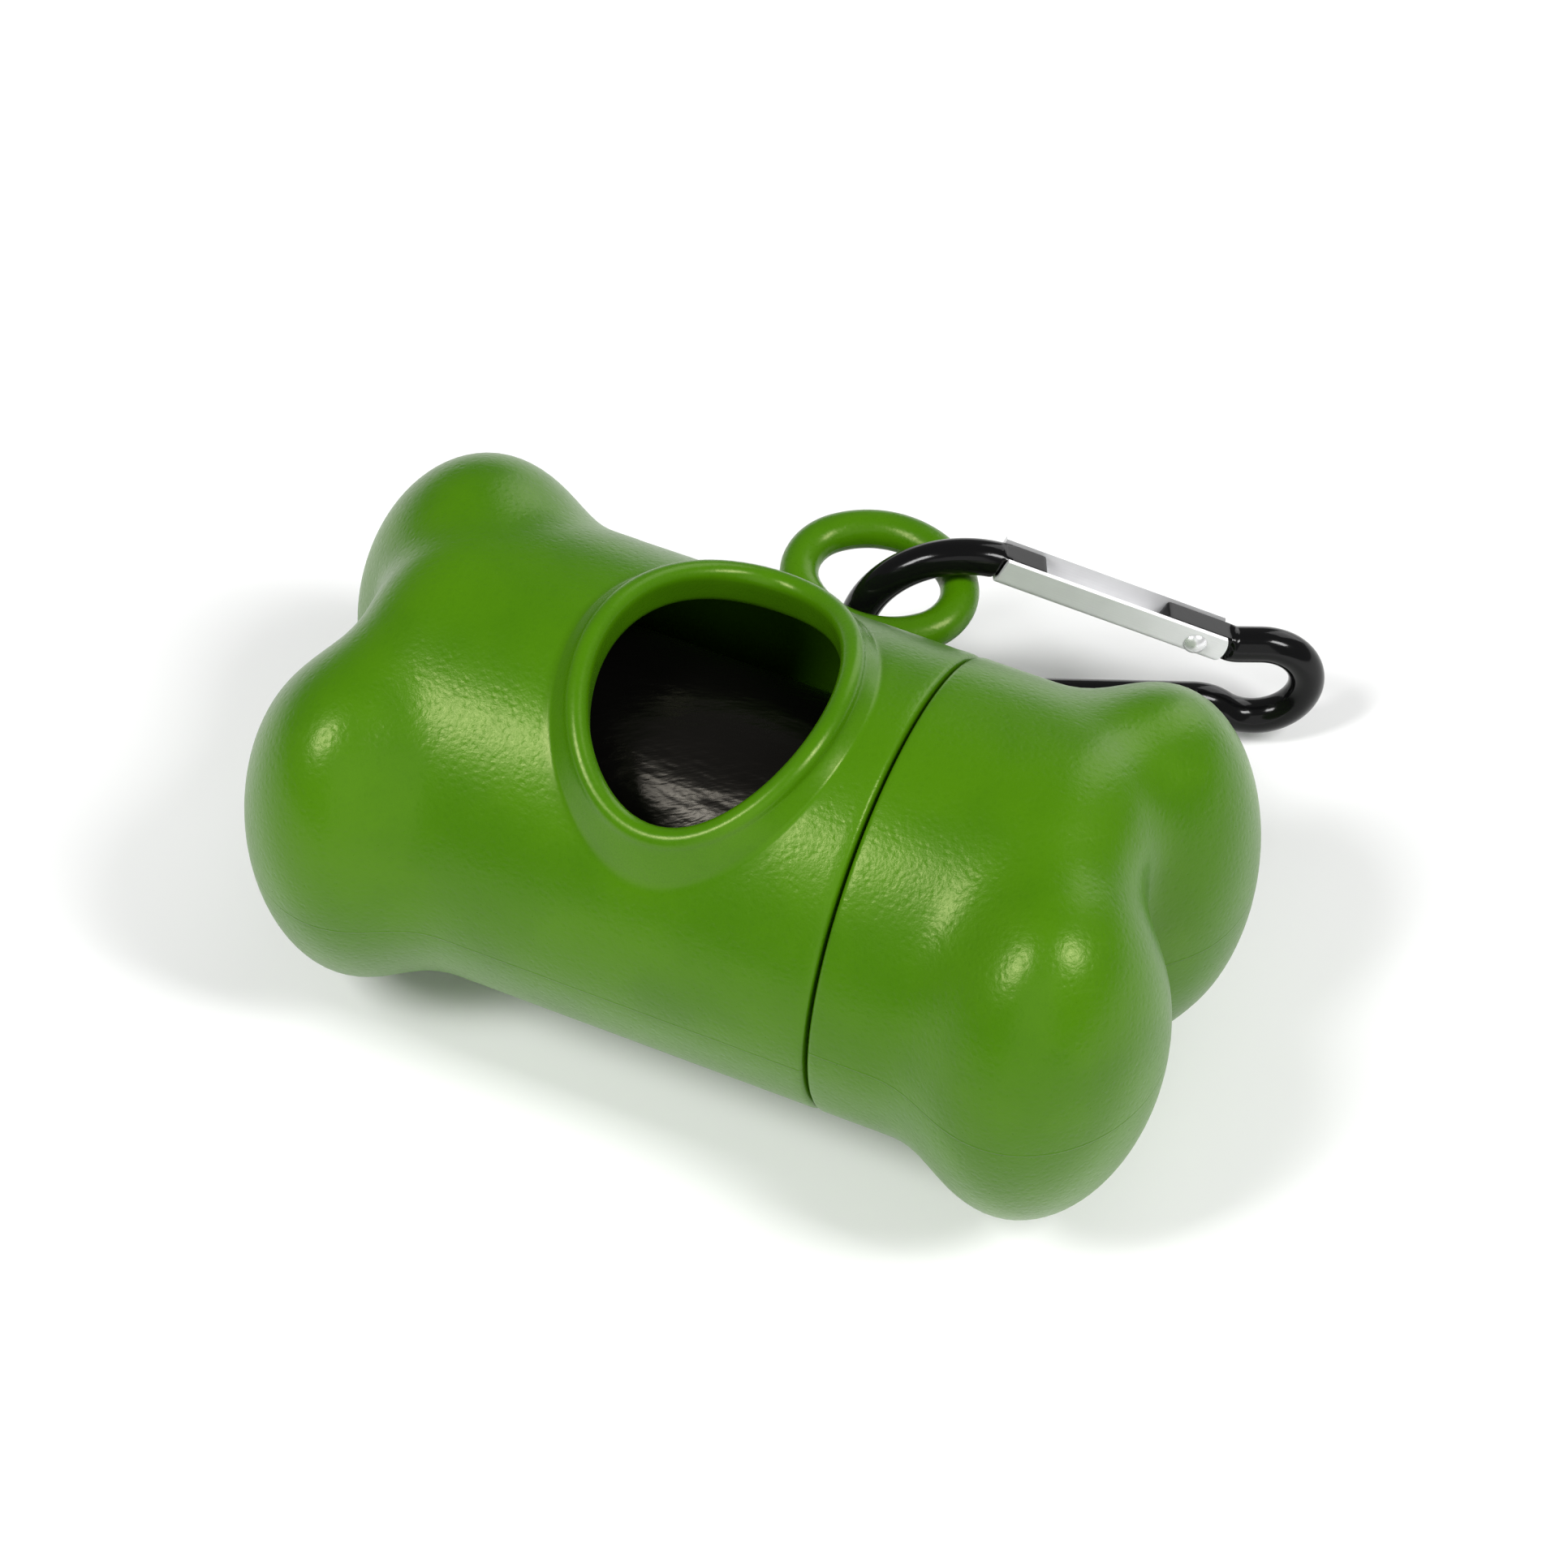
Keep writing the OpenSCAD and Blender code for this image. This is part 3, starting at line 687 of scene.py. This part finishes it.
def wound_film(low, high, bore_r):
    mesh = bmesh.new()
    radius = (high.z - low.z) / 2
    centre_z = (high.z + low.z) / 2
    sections = []
    for x in steps(low.x + 0.5 * MM, high.x - 0.5 * MM, 120):
        sections.append(roll_ring(x, radius - 0.06 * MM + film_ripple(x, TURNS), centre_z))
    layers, film_step, edge = 44, 0.36 * MM, 0.2 * MM
    for side, x_end in ((-1, high.x), (1, low.x)):
        rings = []
        for i in range(layers + 1):
            r = radius - edge - (radius - edge - bore_r) * i / layers
            spiral = (r / film_step - TURNS / (2 * math.pi)) % 1.0
            ridge = 0.09 * MM * (0.5 - np.abs(spiral - 0.5)) + 0.10 * MM
            ridge = ridge + 0.05 * MM * np.sin(5 * TURNS + i * 0.7) ** 2
            rings.append([Vector((x_end + side * d, r * math.sin(a), r * math.cos(a) + centre_z))
                          for d, a in zip(ridge, TURNS)])
        sections += rings if side < 0 else list(reversed(rings))
    loft(mesh, sections + [sections[0]])
    settle(mesh, 2e-6)
    return mesh


def loose_film(low, high):
    """The roll's last bag: a sheet that lies on the roll and ends in a torn edge."""
    mesh = bmesh.new()
    radius = (high.z - low.z) / 2
    centre_z = (high.z + low.z) / 2
    bmesh.ops.create_grid(mesh, x_segments=220, y_segments=90, size=0.5)
    first, last = math.radians(150), math.radians(-58)
    for vertex in mesh.verts:
        u, v = vertex.co.x + 0.5, vertex.co.y + 0.5
        x = low.x + 0.9 * MM + (high.x - low.x - 1.8 * MM) * u
        torn = 0.010 * math.sin(u * 300) + 0.012 * math.sin(u * 97 + 1) + 0.05 * math.sin(u * 5)
        turn = first + (last + torn - first) * v
        crease = math.sin(u * 23 + 5 * math.sin(v * 4)) * math.sin(v * 17 + 3 * u)
        lift = 0.035 * MM + 0.03 * MM * crease * v + 0.05 * MM * max(0.0, v - 0.93) / 0.07
        r = radius + lift
        vertex.co = (x, r * math.sin(turn), r * math.cos(turn) + centre_z)
    bmesh.ops.recalc_face_normals(mesh, faces=mesh.faces[:])
    bmesh.ops.solidify(mesh, geom=mesh.faces[:], thickness=0.03 * MM)
    settle(mesh, 1e-9)
    return mesh


def board_core(low, high):
    mesh = bmesh.new()
    outer, centre_z = (high.z - low.z) / 2, (high.z + low.z) / 2
    bore = outer - 0.7 * MM
    profile = [(low.x + 0.15 * MM, outer)] + [(x, outer) for x in steps(
        low.x + MM, high.x - MM, 8)] + [
        (high.x - 0.15 * MM, outer), (high.x, outer - 0.12 * MM), (high.x, bore + 0.12 * MM),
        (high.x - 0.15 * MM, bore), (low.x + 0.15 * MM, bore), (low.x, bore + 0.12 * MM),
        (low.x, outer - 0.12 * MM)]
    sections = [roll_ring(x, r, centre_z) for x, r in profile]
    loft(mesh, sections + [sections[0]])
    settle(mesh, 2e-6)
    return mesh


# ---- the clip: its bent rod, the folded gate, its rivet ----

# where the flats run out: along the nose, and away from the pivot on the tang
NOSE_FLAT, TANG_FLAT = (-1.55 * MM, -1.15 * MM), (3.3 * MM, 3.65 * MM)
# the flats' half thickness, and their two levels across the gate
FLAT_HALF, FLAT_LOW, FLAT_TOP = 1.1 * MM, 8.5 * MM, 10.6 * MM
# the tang's underside behind the pivot leaves room for the gate's tail when it opens
TAIL_SLOPE, TAIL_UNDER = math.tan(math.radians(18)), 0.789 * MM


def on_clip(clip):
    """The frame in which the clip lies flat, its hook's centre at the origin."""
    turn = Euler(tuple(clip.turn), "XYZ").to_matrix().to_4x4()
    return Matrix.Translation(Vector(clip.place)) @ turn


def polar(radius, turn):
    return Vector((radius * math.cos(turn), radius * math.sin(turn)))


def arc_path(centre, radius, start, finish, count):
    """Places and headings along an arc; it turns left where finish is over start."""
    side = math.copysign(math.pi / 2, finish - start)
    return [(centre + polar(radius, a), a + side) for a in steps(start, finish, count)]


def run_path(start, heading, run, count):
    return [(start + polar(d, heading), heading) for d in steps(0, run, count)]


def rod_path(clip):
    """The rod's centre line, from the nose round to the end of the tang."""
    turn_low, leave_turn = math.radians(200), math.radians(115)
    spine_turn = math.radians(270) + clip.rise
    low_c = polar(clip.hook - clip.low, turn_low)
    spine = low_c + polar(clip.low, spine_turn)
    tail_c = Vector((clip.tail_x, clip.tail_y))
    offset = spine + polar(clip.waist, clip.rise - math.pi / 2) - tail_c
    along = offset.dot(polar(1, clip.rise))
    run = -along - math.sqrt(along ** 2 - offset.dot(offset) + (clip.tail + clip.waist) ** 2)
    waist_c = tail_c + offset + polar(run, clip.rise)
    tail_turn = math.atan2(waist_c.y - tail_c.y, waist_c.x - tail_c.x)
    leave = tail_c + polar(clip.tail, leave_turn)
    back = leave_turn + math.pi / 2
    leave_run = (clip.hook - leave.y) / math.sin(back)
    elbow_r = 2 * MM
    trim = elbow_r * math.tan((back - math.pi) / 2)
    elbow = leave + polar(leave_run - trim, back)
    elbow_c = elbow + polar(elbow_r, back - math.pi / 2)
    tang = elbow_c + polar(elbow_r, -math.pi / 2)
    nose_x = clip.pivot_x - clip.gate_l + 4 * MM
    tang_end = clip.pivot_x - 3.3 * MM
    path = run_path(Vector((nose_x, clip.hook)), math.pi, nose_x, 18)
    path += arc_path(Vector((0, 0)), clip.hook, math.pi / 2, math.radians(103), 15)[1:]
    path += arc_path(Vector((0, 0)), clip.hook, math.radians(103), turn_low, 46)[1:]
    path += arc_path(low_c, clip.low, turn_low, spine_turn, 34)[1:]
    path += run_path(spine, clip.rise, run, 8)[1:]
    path += arc_path(waist_c, clip.waist, math.pi / 2 + clip.rise, tail_turn + math.pi, 14)[1:]
    path += arc_path(tail_c, clip.tail, tail_turn, leave_turn, 52)[1:]
    path += run_path(leave, back, leave_run - trim, 8)[1:]
    path += arc_path(elbow_c, elbow_r, back + math.pi / 2, math.pi * 1.5, 6)[1:]
    path += run_path(tang, math.pi, tang.x - tang_end, 46)[1:]
    return path


def soft(value, low, high):
    share_up = min(1.0, max(0.0, (value - low) / (high - low)))
    return share_up * share_up * (3 - 2 * share_up)


def flattened(place, clip):
    """Presses the rod's nose and tang flat, so that the gate's channel closes over them."""
    gate_side, nose_side = 5 * MM, 8 * MM
    if place.y < gate_side:
        return place
    if place.x < nose_side:
        amount, low = soft(place.x, *NOSE_FLAT), FLAT_LOW
    elif place.x < clip.pivot_x:
        amount, low = 1.0, FLAT_LOW
    else:
        away = math.hypot(place.x - clip.pivot_x, place.y - clip.pivot_y)
        amount = 1 - soft(away, *TANG_FLAT)
        low = clip.pivot_y - TAIL_UNDER + TAIL_SLOPE * (place.x - clip.pivot_x)
    pressed = Vector((place.x, min(max(place.y, low), FLAT_TOP),
                      min(max(place.z, -FLAT_HALF), FLAT_HALF)))
    return place.lerp(pressed, amount)


def rod_section(point, heading, clip, inset=0.0):
    across = polar(1, heading + math.pi / 2)
    places = []
    for b in steps(0, 2 * math.pi, 40)[:-1]:
        plan = point + across * (clip.rod * math.cos(b))
        places.append(flattened(Vector((plan.x, plan.y, clip.rod * math.sin(b))), clip))
    centre = sum(places, Vector()) / len(places)
    return [centre.lerp(p, 1 - inset) for p in places]


def cylinder(centre, axis, radius, half):
    """A plain drill for holes, as a mesh."""
    mesh = bmesh.new()
    bmesh.ops.create_cone(mesh, cap_ends=True, segments=40, radius1=radius, radius2=radius,
                          depth=2 * half)
    turn = Vector((0, 0, 1)).rotation_difference(Vector(axis)).to_matrix().to_4x4()
    mesh.transform(Matrix.Translation(centre) @ turn)
    return mesh


def cut(mesh, *drills):
    """The mesh with the drills' shapes taken out of it."""
    base = as_object("work", mesh)
    tools = [as_object("drill", drill) for drill in drills]
    for tool in tools:
        change = base.modifiers.new("cut", "BOOLEAN")
        change.object, change.operation, change.solver = tool, "DIFFERENCE", "EXACT"
    graph = bpy.context.evaluated_depsgraph_get()
    made = bmesh.new()
    made.from_mesh(base.evaluated_get(graph).to_mesh())
    for obj in (base, *tools):
        data = obj.data
        bpy.data.objects.remove(obj)
        bpy.data.meshes.remove(data)
    return made


def clip_rod(clip):
    mesh = bmesh.new()
    path = rod_path(clip)
    insets = {0: 0.2, 1: 0.03, len(path) - 2: 0.03, len(path) - 1: 0.2}
    rings = loft(mesh, [rod_section(point, heading, clip, insets.get(i, 0.0))
                        for i, (point, heading) in enumerate(path)])
    close_ends(mesh, rings[0], rings[-1])
    settle(mesh)
    web_y = clip.hook - clip.gate_h / 2
    pocket_top = 10.25 * MM
    rivet_r, through, pocket_r, pocket_on = 0.62 * MM, 3 * MM, 0.7 * MM, 1.75 * MM
    mesh = cut(mesh, cylinder((clip.pivot_x, clip.pivot_y, 0), (0, 0, 1), rivet_r, through),
               cylinder((clip.pivot_x + pocket_on, (web_y + pocket_top) / 2, 0), (0, 1, 0),
                        pocket_r, (pocket_top - web_y) / 2))
    bmesh.ops.dissolve_degenerate(mesh, dist=1e-6, edges=mesh.edges[:])
    settle(mesh, 1e-6)
    mesh.transform(on_clip(clip))
    return mesh


def channel_profile(clip):
    """The folded sheet's outline across the gate, as (across, up) from the web's outside."""
    half, sheet, corner = clip.gate_w / 2, clip.sheet, 0.8 * MM
    bend = lambda side, radius, first, last: [
        (side * (half - corner) + radius * math.cos(a), corner + radius * math.sin(a))
        for a in steps(math.radians(first), math.radians(last), 7)]
    outer = [(half, clip.gate_h)] + bend(1, corner, 0, -90) + bend(-1, corner, -90, -180)
    inner = [(-half, clip.gate_h), (sheet - half, clip.gate_h)]
    inner += bend(-1, corner - sheet, -180, -90) + bend(1, corner - sheet, -90, 0)
    return outer + inner + [(half - sheet, clip.gate_h)]


def gate_channel(clip):
    mesh = bmesh.new()
    web_y = clip.hook - clip.gate_h / 2
    reach_r, rivet_r, through, far = 2.9 * MM, 0.64 * MM, 3 * MM, 6 * MM
    rings = loft(mesh, [[Vector((x, web_y + up, across)) for across, up in channel_profile(clip)]
                        for x in steps(clip.pivot_x - clip.gate_l, clip.pivot_x + far, 2)])
    close_ends(mesh, rings[0], rings[-1])
    settle(mesh)
    pivot = Vector((clip.pivot_x, clip.pivot_y))
    outline = [pivot + polar(reach_r, a) for a in steps(-math.pi / 2, math.pi / 2, 48)]
    outline += [pivot + Vector(p) for p in ((0, far), (far + MM, far), (far + MM, -far), (0, -far))]
    round_off = bmesh.new()
    rings = loft(round_off, [[Vector((p.x, p.y, z)) for p in outline] for z in (-far, far)])
    close_ends(round_off, *rings)
    settle(round_off)
    mesh = cut(mesh, round_off,
               cylinder((clip.pivot_x, clip.pivot_y, 0), (0, 0, 1), rivet_r, through))
    fold, broken_edge = math.radians(50), 0.06 * MM
    edges = [e for e in mesh.edges if len(e.link_faces) == 2 and e.calc_face_angle(0.0) > fold
             and (e.verts[0].co.xy - pivot).length > MM]
    bmesh.ops.bevel(mesh, geom=edges, offset=broken_edge, offset_type="OFFSET", affect="EDGES",
                    segments=2, profile=0.5, material=-1, clamp_overlap=True)
    settle(mesh)
    mesh.transform(on_clip(clip))
    return mesh


def rivet(clip):
    mesh = bmesh.new()
    seat, head_r, head_h, shank = 1.75 * MM, 1.05 * MM, 0.55 * MM, 0.6 * MM
    ball = (head_r ** 2 + head_h ** 2) / (2 * head_h)
    dome = [(seat + head_h - ball + ball * math.cos(a), ball * math.sin(a))
            for a in steps(math.radians(4), math.asin(head_r / ball), 12)]
    half = dome + [(seat, head_r - 0.05 * MM), (seat, shank)]
    profile = half + [(-z, r) for z, r in reversed(half)]
    rings = loft(mesh, [[Vector((clip.pivot_x + r * math.cos(b), clip.pivot_y + r * math.sin(b), z))
                         for b in steps(0, 2 * math.pi, 48)[:-1]] for z, r in profile])
    close_ends(mesh, rings[0], rings[-1])
    settle(mesh)
    mesh.transform(on_clip(clip))
    return mesh


# ---- materials ----

def moulded_green(finish):
    """Spark-eroded grain on the outside, polished on the lip, and a faint parting line; painted shade
    darkens the grain's pits and the inside surfaces.
    """
    paint = Paint("moulded_green")
    place = paint.place()
    polish, inside = paint.attribute("polish"), paint.attribute("inside")
    clouds = paint.noise(place, 85, 3.0).step(0.36, 0.66)
    grain = paint.noise(place, 3000, 2.0, 0.6)
    pits = paint.cells(place, 1500).step(0.05, 0.55)
    scuffs = paint.noise(paint.turned(place, rotation=(0.5, 0.3, 0.8), scale=(1, 0.06, 0.06)),
                         120).step(0.60, 0.74)
    # Painted shade: the grain's pits and the shells' inside surfaces are pushed towards the deep
    # green, as if shaded; the broad clouds are the plastic's random tone.
    tone = clouds * 0.55 + (1 - pits) * 0.12 + inside * 0.25
    mottle_and_painted_shade = paint.mix(tone, tuple(finish.green), tuple(finish.green_deep))
    line = 1 - abs(paint.attribute("mould_z")).step(0.05 * MM, 0.13 * MM)
    open_skin = 1 - polish * 0.75
    height = (grain * 0.65 + pits * 0.35) * open_skin * (1 - inside * 0.6)
    normal = paint.bump(height, 0.05 * MM, finish.grain)
    normal = paint.bump(line * (1 - inside) * (1 - polish), 0.05 * MM, 0.8, normal)
    rough = finish.shell_rough + (grain - 0.5) * 0.16 - polish * 0.03 + scuffs * 0.06
    return paint.finish(Base_Color=mottle_and_painted_shade, Roughness=rough, Normal=normal,
                        Specular_IOR_Level=0.34, Specular_Tint=(1.0, 1.0, 0.5))


def bag_film(finish):
    """Thin black film, glossy, with soft crinkles along the roll."""
    paint = Paint("glossy_film")
    place = paint.place()
    long_folds = paint.noise(paint.turned(place, scale=(0.014, 0.0032, 0.0032)), 1.0, 3.0)
    crinkles = paint.noise(paint.turned(place, rotation=(0, 0, 0.5), scale=(0.004, 0.0011, 0.0015)),
                           1.0, 3.0, 0.6)
    haze = paint.noise(place, 260)
    normal = paint.bump(long_folds, 0.5 * MM, 0.55)
    normal = paint.bump(crinkles, 0.16 * MM, 0.6, normal)
    return paint.finish(Base_Color=tuple(finish.film), Roughness=0.22 + haze * 0.12,
                        Normal=normal, Specular_IOR_Level=0.26,
                        Specular_Tint=(1.0, 0.93, 0.80))


def core_board(finish):
    """Wound grey-brown board, with short fibres."""
    paint = Paint("core_board")
    place = paint.place()
    fibres = paint.noise(paint.turned(place, scale=(0.0016, 0.0003, 0.0003)), 1.0, 3.0)
    x, _, _ = paint.parts(place)
    plies = ((x * 420).sine() * 0.5 + 0.5).step(0.92, 1.0)
    dark = tuple(c * 0.7 for c in finish.board)
    tone = paint.mix(fibres * 0.7 + plies * 0.3, tuple(finish.board), dark)
    return paint.finish(Base_Color=tone, Roughness=0.86,
                        Normal=paint.bump(fibres - plies * 0.4, 0.08 * MM, 0.4))


def black_rod(finish):
    """Glossy black coating, a little uneven."""
    paint = Paint("black_rod")
    place = paint.place()
    flow = paint.noise(place, 320)
    dust = paint.noise(place, 3800, 1.0)
    normal = paint.bump(flow, 0.08 * MM, 0.35)
    normal = paint.bump(dust, 0.01 * MM, 0.3, normal)
    return paint.finish(Base_Color=tuple(finish.rod_black), Roughness=0.09 + flow * 0.07,
                        Normal=normal, Specular_IOR_Level=0.24)


def brushed(name, tone, clip, rough, across=0.06, bare=1.0):
    """Metal with fine lines along the clip and light smears; bare is its metallic share."""
    paint = Paint(name)
    local = paint.turned(paint.place(), tuple(clip.place), tuple(clip.turn))
    lines = paint.noise(paint.turned(local, scale=(0.012, across * MM, across * MM)), 1.0, 3.0)
    smears = paint.noise(local, 480)
    shade = paint.mix(smears * 0.4 + lines * 0.3, tone, tuple(c * 0.72 for c in tone))
    return paint.finish(Base_Color=shade, Metallic=bare, Roughness=rough + lines * 0.14,
                        Normal=paint.bump(lines, 0.012 * MM, 0.5))


# ---- operators ----

def shell_green(context):
    """The material of both shells, made once."""
    made = bpy.data.materials.get("moulded_green")
    return made or moulded_green(context.scene.dispenser_finish)


def mould_height(mesh, turn=0.0):
    """Writes each vertex's height over the mould's parting plane."""
    layer = mesh.verts.layers.float["mould_z"]
    back = Matrix.Rotation(turn, 4, "X")
    for vertex in mesh.verts:
        vertex[layer] = (back @ vertex.co).z


class DISPENSER_OT_shell(bpy.types.Operator):
    """Builds the moulded body with its mouth, neck and eyelet"""
    bl_idname = "dispenser.shell"
    bl_label = "Moulded body"

    def execute(self, context):
        scene = context.scene
        mesh = body_shell(scene.dispenser_bone, scene.dispenser_mouth, scene.dispenser_eyelet)
        mould_height(mesh)
        piece("moulded_body", mesh, shell_green(context), "shell", ["main_shell"])
        return {"FINISHED"}


class DISPENSER_OT_cap(bpy.types.Operator):
    """Builds the screw-on knuckled end"""
    bl_idname = "dispenser.cap"
    bl_label = "Screw-on end"

    def execute(self, context):
        bone = context.scene.dispenser_bone
        mesh = cap_shell(bone)
        mould_height(mesh, bone.cap_turn)
        piece("screw_end", mesh, shell_green(context), "cap", ["end_cap"])
        return {"FINISHED"}


class DISPENSER_OT_roll(bpy.types.Operator):
    """Builds the wound bags, with the last bag lying on the roll"""
    bl_idname = "dispenser.roll"
    bl_label = "Roll of bags"

    def execute(self, context):
        low, high = (Vector(corner) for corner in ROLL_BOX)
        film = bag_film(context.scene.dispenser_finish)
        bore = (CORE_BOX[1][2] - CORE_BOX[0][2]) / 2 + 0.1 * MM
        piece("wound_bags", wound_film(low, high, bore), film, "roll", ["bag_roll"])
        piece("last_bag", loose_film(low, high), film, "roll")
        return {"FINISHED"}


class DISPENSER_OT_core(bpy.types.Operator):
    """Builds the board tube that the bags are wound on"""
    bl_idname = "dispenser.core"
    bl_label = "Roll core"

    def execute(self, context):
        low, high = (Vector(corner) for corner in CORE_BOX)
        board = core_board(context.scene.dispenser_finish)
        piece("board_core", board_core(low, high), board, "roll", ["roll_core"])
        return {"FINISHED"}


class DISPENSER_OT_rod(bpy.types.Operator):
    """Builds the clip's bent rod"""
    bl_idname = "dispenser.rod"
    bl_label = "Clip rod"

    def execute(self, context):
        clip, finish = context.scene.dispenser_clip, context.scene.dispenser_finish
        piece("clip_rod", clip_rod(clip), black_rod(finish), "clip",
              ["carabiner_body"])
        return {"FINISHED"}


class DISPENSER_OT_gate(bpy.types.Operator):
    """Builds the clip's folded gate and its rivet, and finishes its spring"""
    bl_idname = "dispenser.gate"
    bl_label = "Clip gate"

    def execute(self, context):
        clip, finish = context.scene.dispenser_clip, context.scene.dispenser_finish
        metal = tuple(finish.metal)
        sheet = brushed("gate_metal", metal, clip, 0.28, bare=0.3)
        gate = piece("clip_gate", gate_channel(clip), sheet, GATE_BODY,
                     ["carabiner_gate"])
        even = gate.modifiers.new("even", "WEIGHTED_NORMAL")
        even.keep_sharp = True
        head = brushed("rivet_metal", metal, clip, 0.2, across=0.5, bare=0.6)
        piece("clip_rivet", rivet(clip), head, RIVET_BODY, ["gate_rivet"])
        wire = brushed("spring_steel", tuple(finish.steel), clip, 0.26)
        for place in frame["nodes"]["gate_spring"].material_slots:
            place.material = wire
        return {"FINISHED"}


class DISPENSER_OT_stage(bpy.types.Operator):
    """Sets the pale floor, the soft lights and the camera"""
    bl_idname = "dispenser.stage"
    bl_label = "Stage"

    def execute(self, context):
        stage = context.scene.dispenser_stage
        cosine, sine = math.cos, math.sin
        a, e, r = stage.azimuth, stage.elevation, stage.roll
        back = Vector((sine(a) * cosine(e), -cosine(a) * cosine(e), sine(e)))
        level = Vector((cosine(a), sine(a), 0))
        upright = back.cross(level)
        right = level * cosine(r) + upright * sine(r)
        up = upright * cosine(r) - level * sine(r)
        data = bpy.data.cameras.new("camera")
        data.sensor_fit, data.sensor_width, data.lens = "HORIZONTAL", 36, stage.lens
        data.clip_start, data.clip_end = 0.01, 30
        camera = bpy.data.objects.new("camera", data)
        axes = Matrix((right, up, back)).transposed().to_4x4()
        spot = back * stage.distance - right * stage.pan[0] - up * stage.pan[1]
        camera.matrix_world = Matrix.Translation(spot) @ axes
        context.scene.collection.objects.link(camera)
        context.scene.camera = camera
        self.floor(stage)
        for name, over, side, ahead, size, power in (
                ("key_left", 0.20, -0.42, 0.62, 0.17, 1.0),
                ("key_right", 0.20, 0.44, 0.62, 0.17, 1.0),
                ("fill_low", -0.45, 0.0, 0.55, 0.6, 0.4),
                ("fill_back", 0.80, 0.57, -0.18, 0.5, 0.8)):
            self.softbox(name, right * side + up * over + back * ahead, size,
                         stage.power * power)
        world = bpy.data.worlds.new("room")
        world.use_nodes = True
        room = world.node_tree.nodes["Background"]
        room.inputs["Color"].default_value = (1, 1, 1, 1)
        room.inputs["Strength"].default_value = stage.sky
        context.scene.world = world
        context.scene.view_settings.view_transform = "Standard"
        return {"FINISHED"}

    def floor(self, stage):
        mesh = bmesh.new()
        bmesh.ops.create_grid(mesh, x_segments=1, y_segments=1, size=stage.floor_half)
        mesh.transform(Matrix.Translation((0, 0, stage.floor_z)))
        floor = as_object("floor", mesh)
        paint = Paint("floor_paper")
        fibre = paint.noise(paint.place(), 900)
        floor.data.materials.append(paint.finish(
            Base_Color=(0.93, 0.93, 0.93), Roughness=0.7 + fibre * 0.1))

    def softbox(self, name, spot, size, power):
        data = bpy.data.lights.new(name, "AREA")
        data.shape, data.energy = "RECTANGLE", power
        data.size, data.size_y = size, size * 1.9
        light = bpy.data.objects.new(name, data)
        aim = (-spot).to_track_quat("-Z", "Y")
        light.matrix_world = Matrix.Translation(spot) @ aim.to_matrix().to_4x4()
        bpy.context.scene.collection.objects.link(light)


class DISPENSER_PT_panel(bpy.types.Panel):
    """Lists the pieces and the stage"""
    bl_idname = "DISPENSER_PT_panel"
    bl_label = "Bone Bag Dispenser"
    bl_space_type = "VIEW_3D"
    bl_region_type = "UI"
    bl_category = "Dispenser"

    def draw(self, context):
        for operator in OPERATORS:
            self.layout.operator(operator.bl_idname)


GROUPS = {"dispenser_bone": BoneSizes, "dispenser_mouth": MouthSizes,
          "dispenser_eyelet": EyeletSizes, "dispenser_clip": ClipSizes,
          "dispenser_finish": Finishes, "dispenser_stage": StageSettings}
OPERATORS = [DISPENSER_OT_shell, DISPENSER_OT_cap, DISPENSER_OT_roll, DISPENSER_OT_core,
             DISPENSER_OT_rod, DISPENSER_OT_gate, DISPENSER_OT_stage]
BODY_OF = {node: body for body, nodes in frame["record"]["behaviour"]["bodies"].items()
           for node in nodes}
GATE_BODY, RIVET_BODY = BODY_OF["carabiner_gate"], BODY_OF["gate_rivet"]


def register():
    for entry in (*GROUPS.values(), *OPERATORS, DISPENSER_PT_panel):
        bpy.utils.register_class(entry)
    for name, group in GROUPS.items():
        setattr(bpy.types.Scene, name, PointerProperty(type=group))


def unregister():
    for name in GROUPS:
        delattr(bpy.types.Scene, name)
    for entry in (DISPENSER_PT_panel, *reversed(OPERATORS), *reversed(GROUPS.values())):
        bpy.utils.unregister_class(entry)


def main():
    register()
    for operator in OPERATORS:
        group, name = operator.bl_idname.split(".")
        getattr(getattr(bpy.ops, group), name)()
    bpy.context.view_layer.update()


if __name__ == "__main__":
    main()
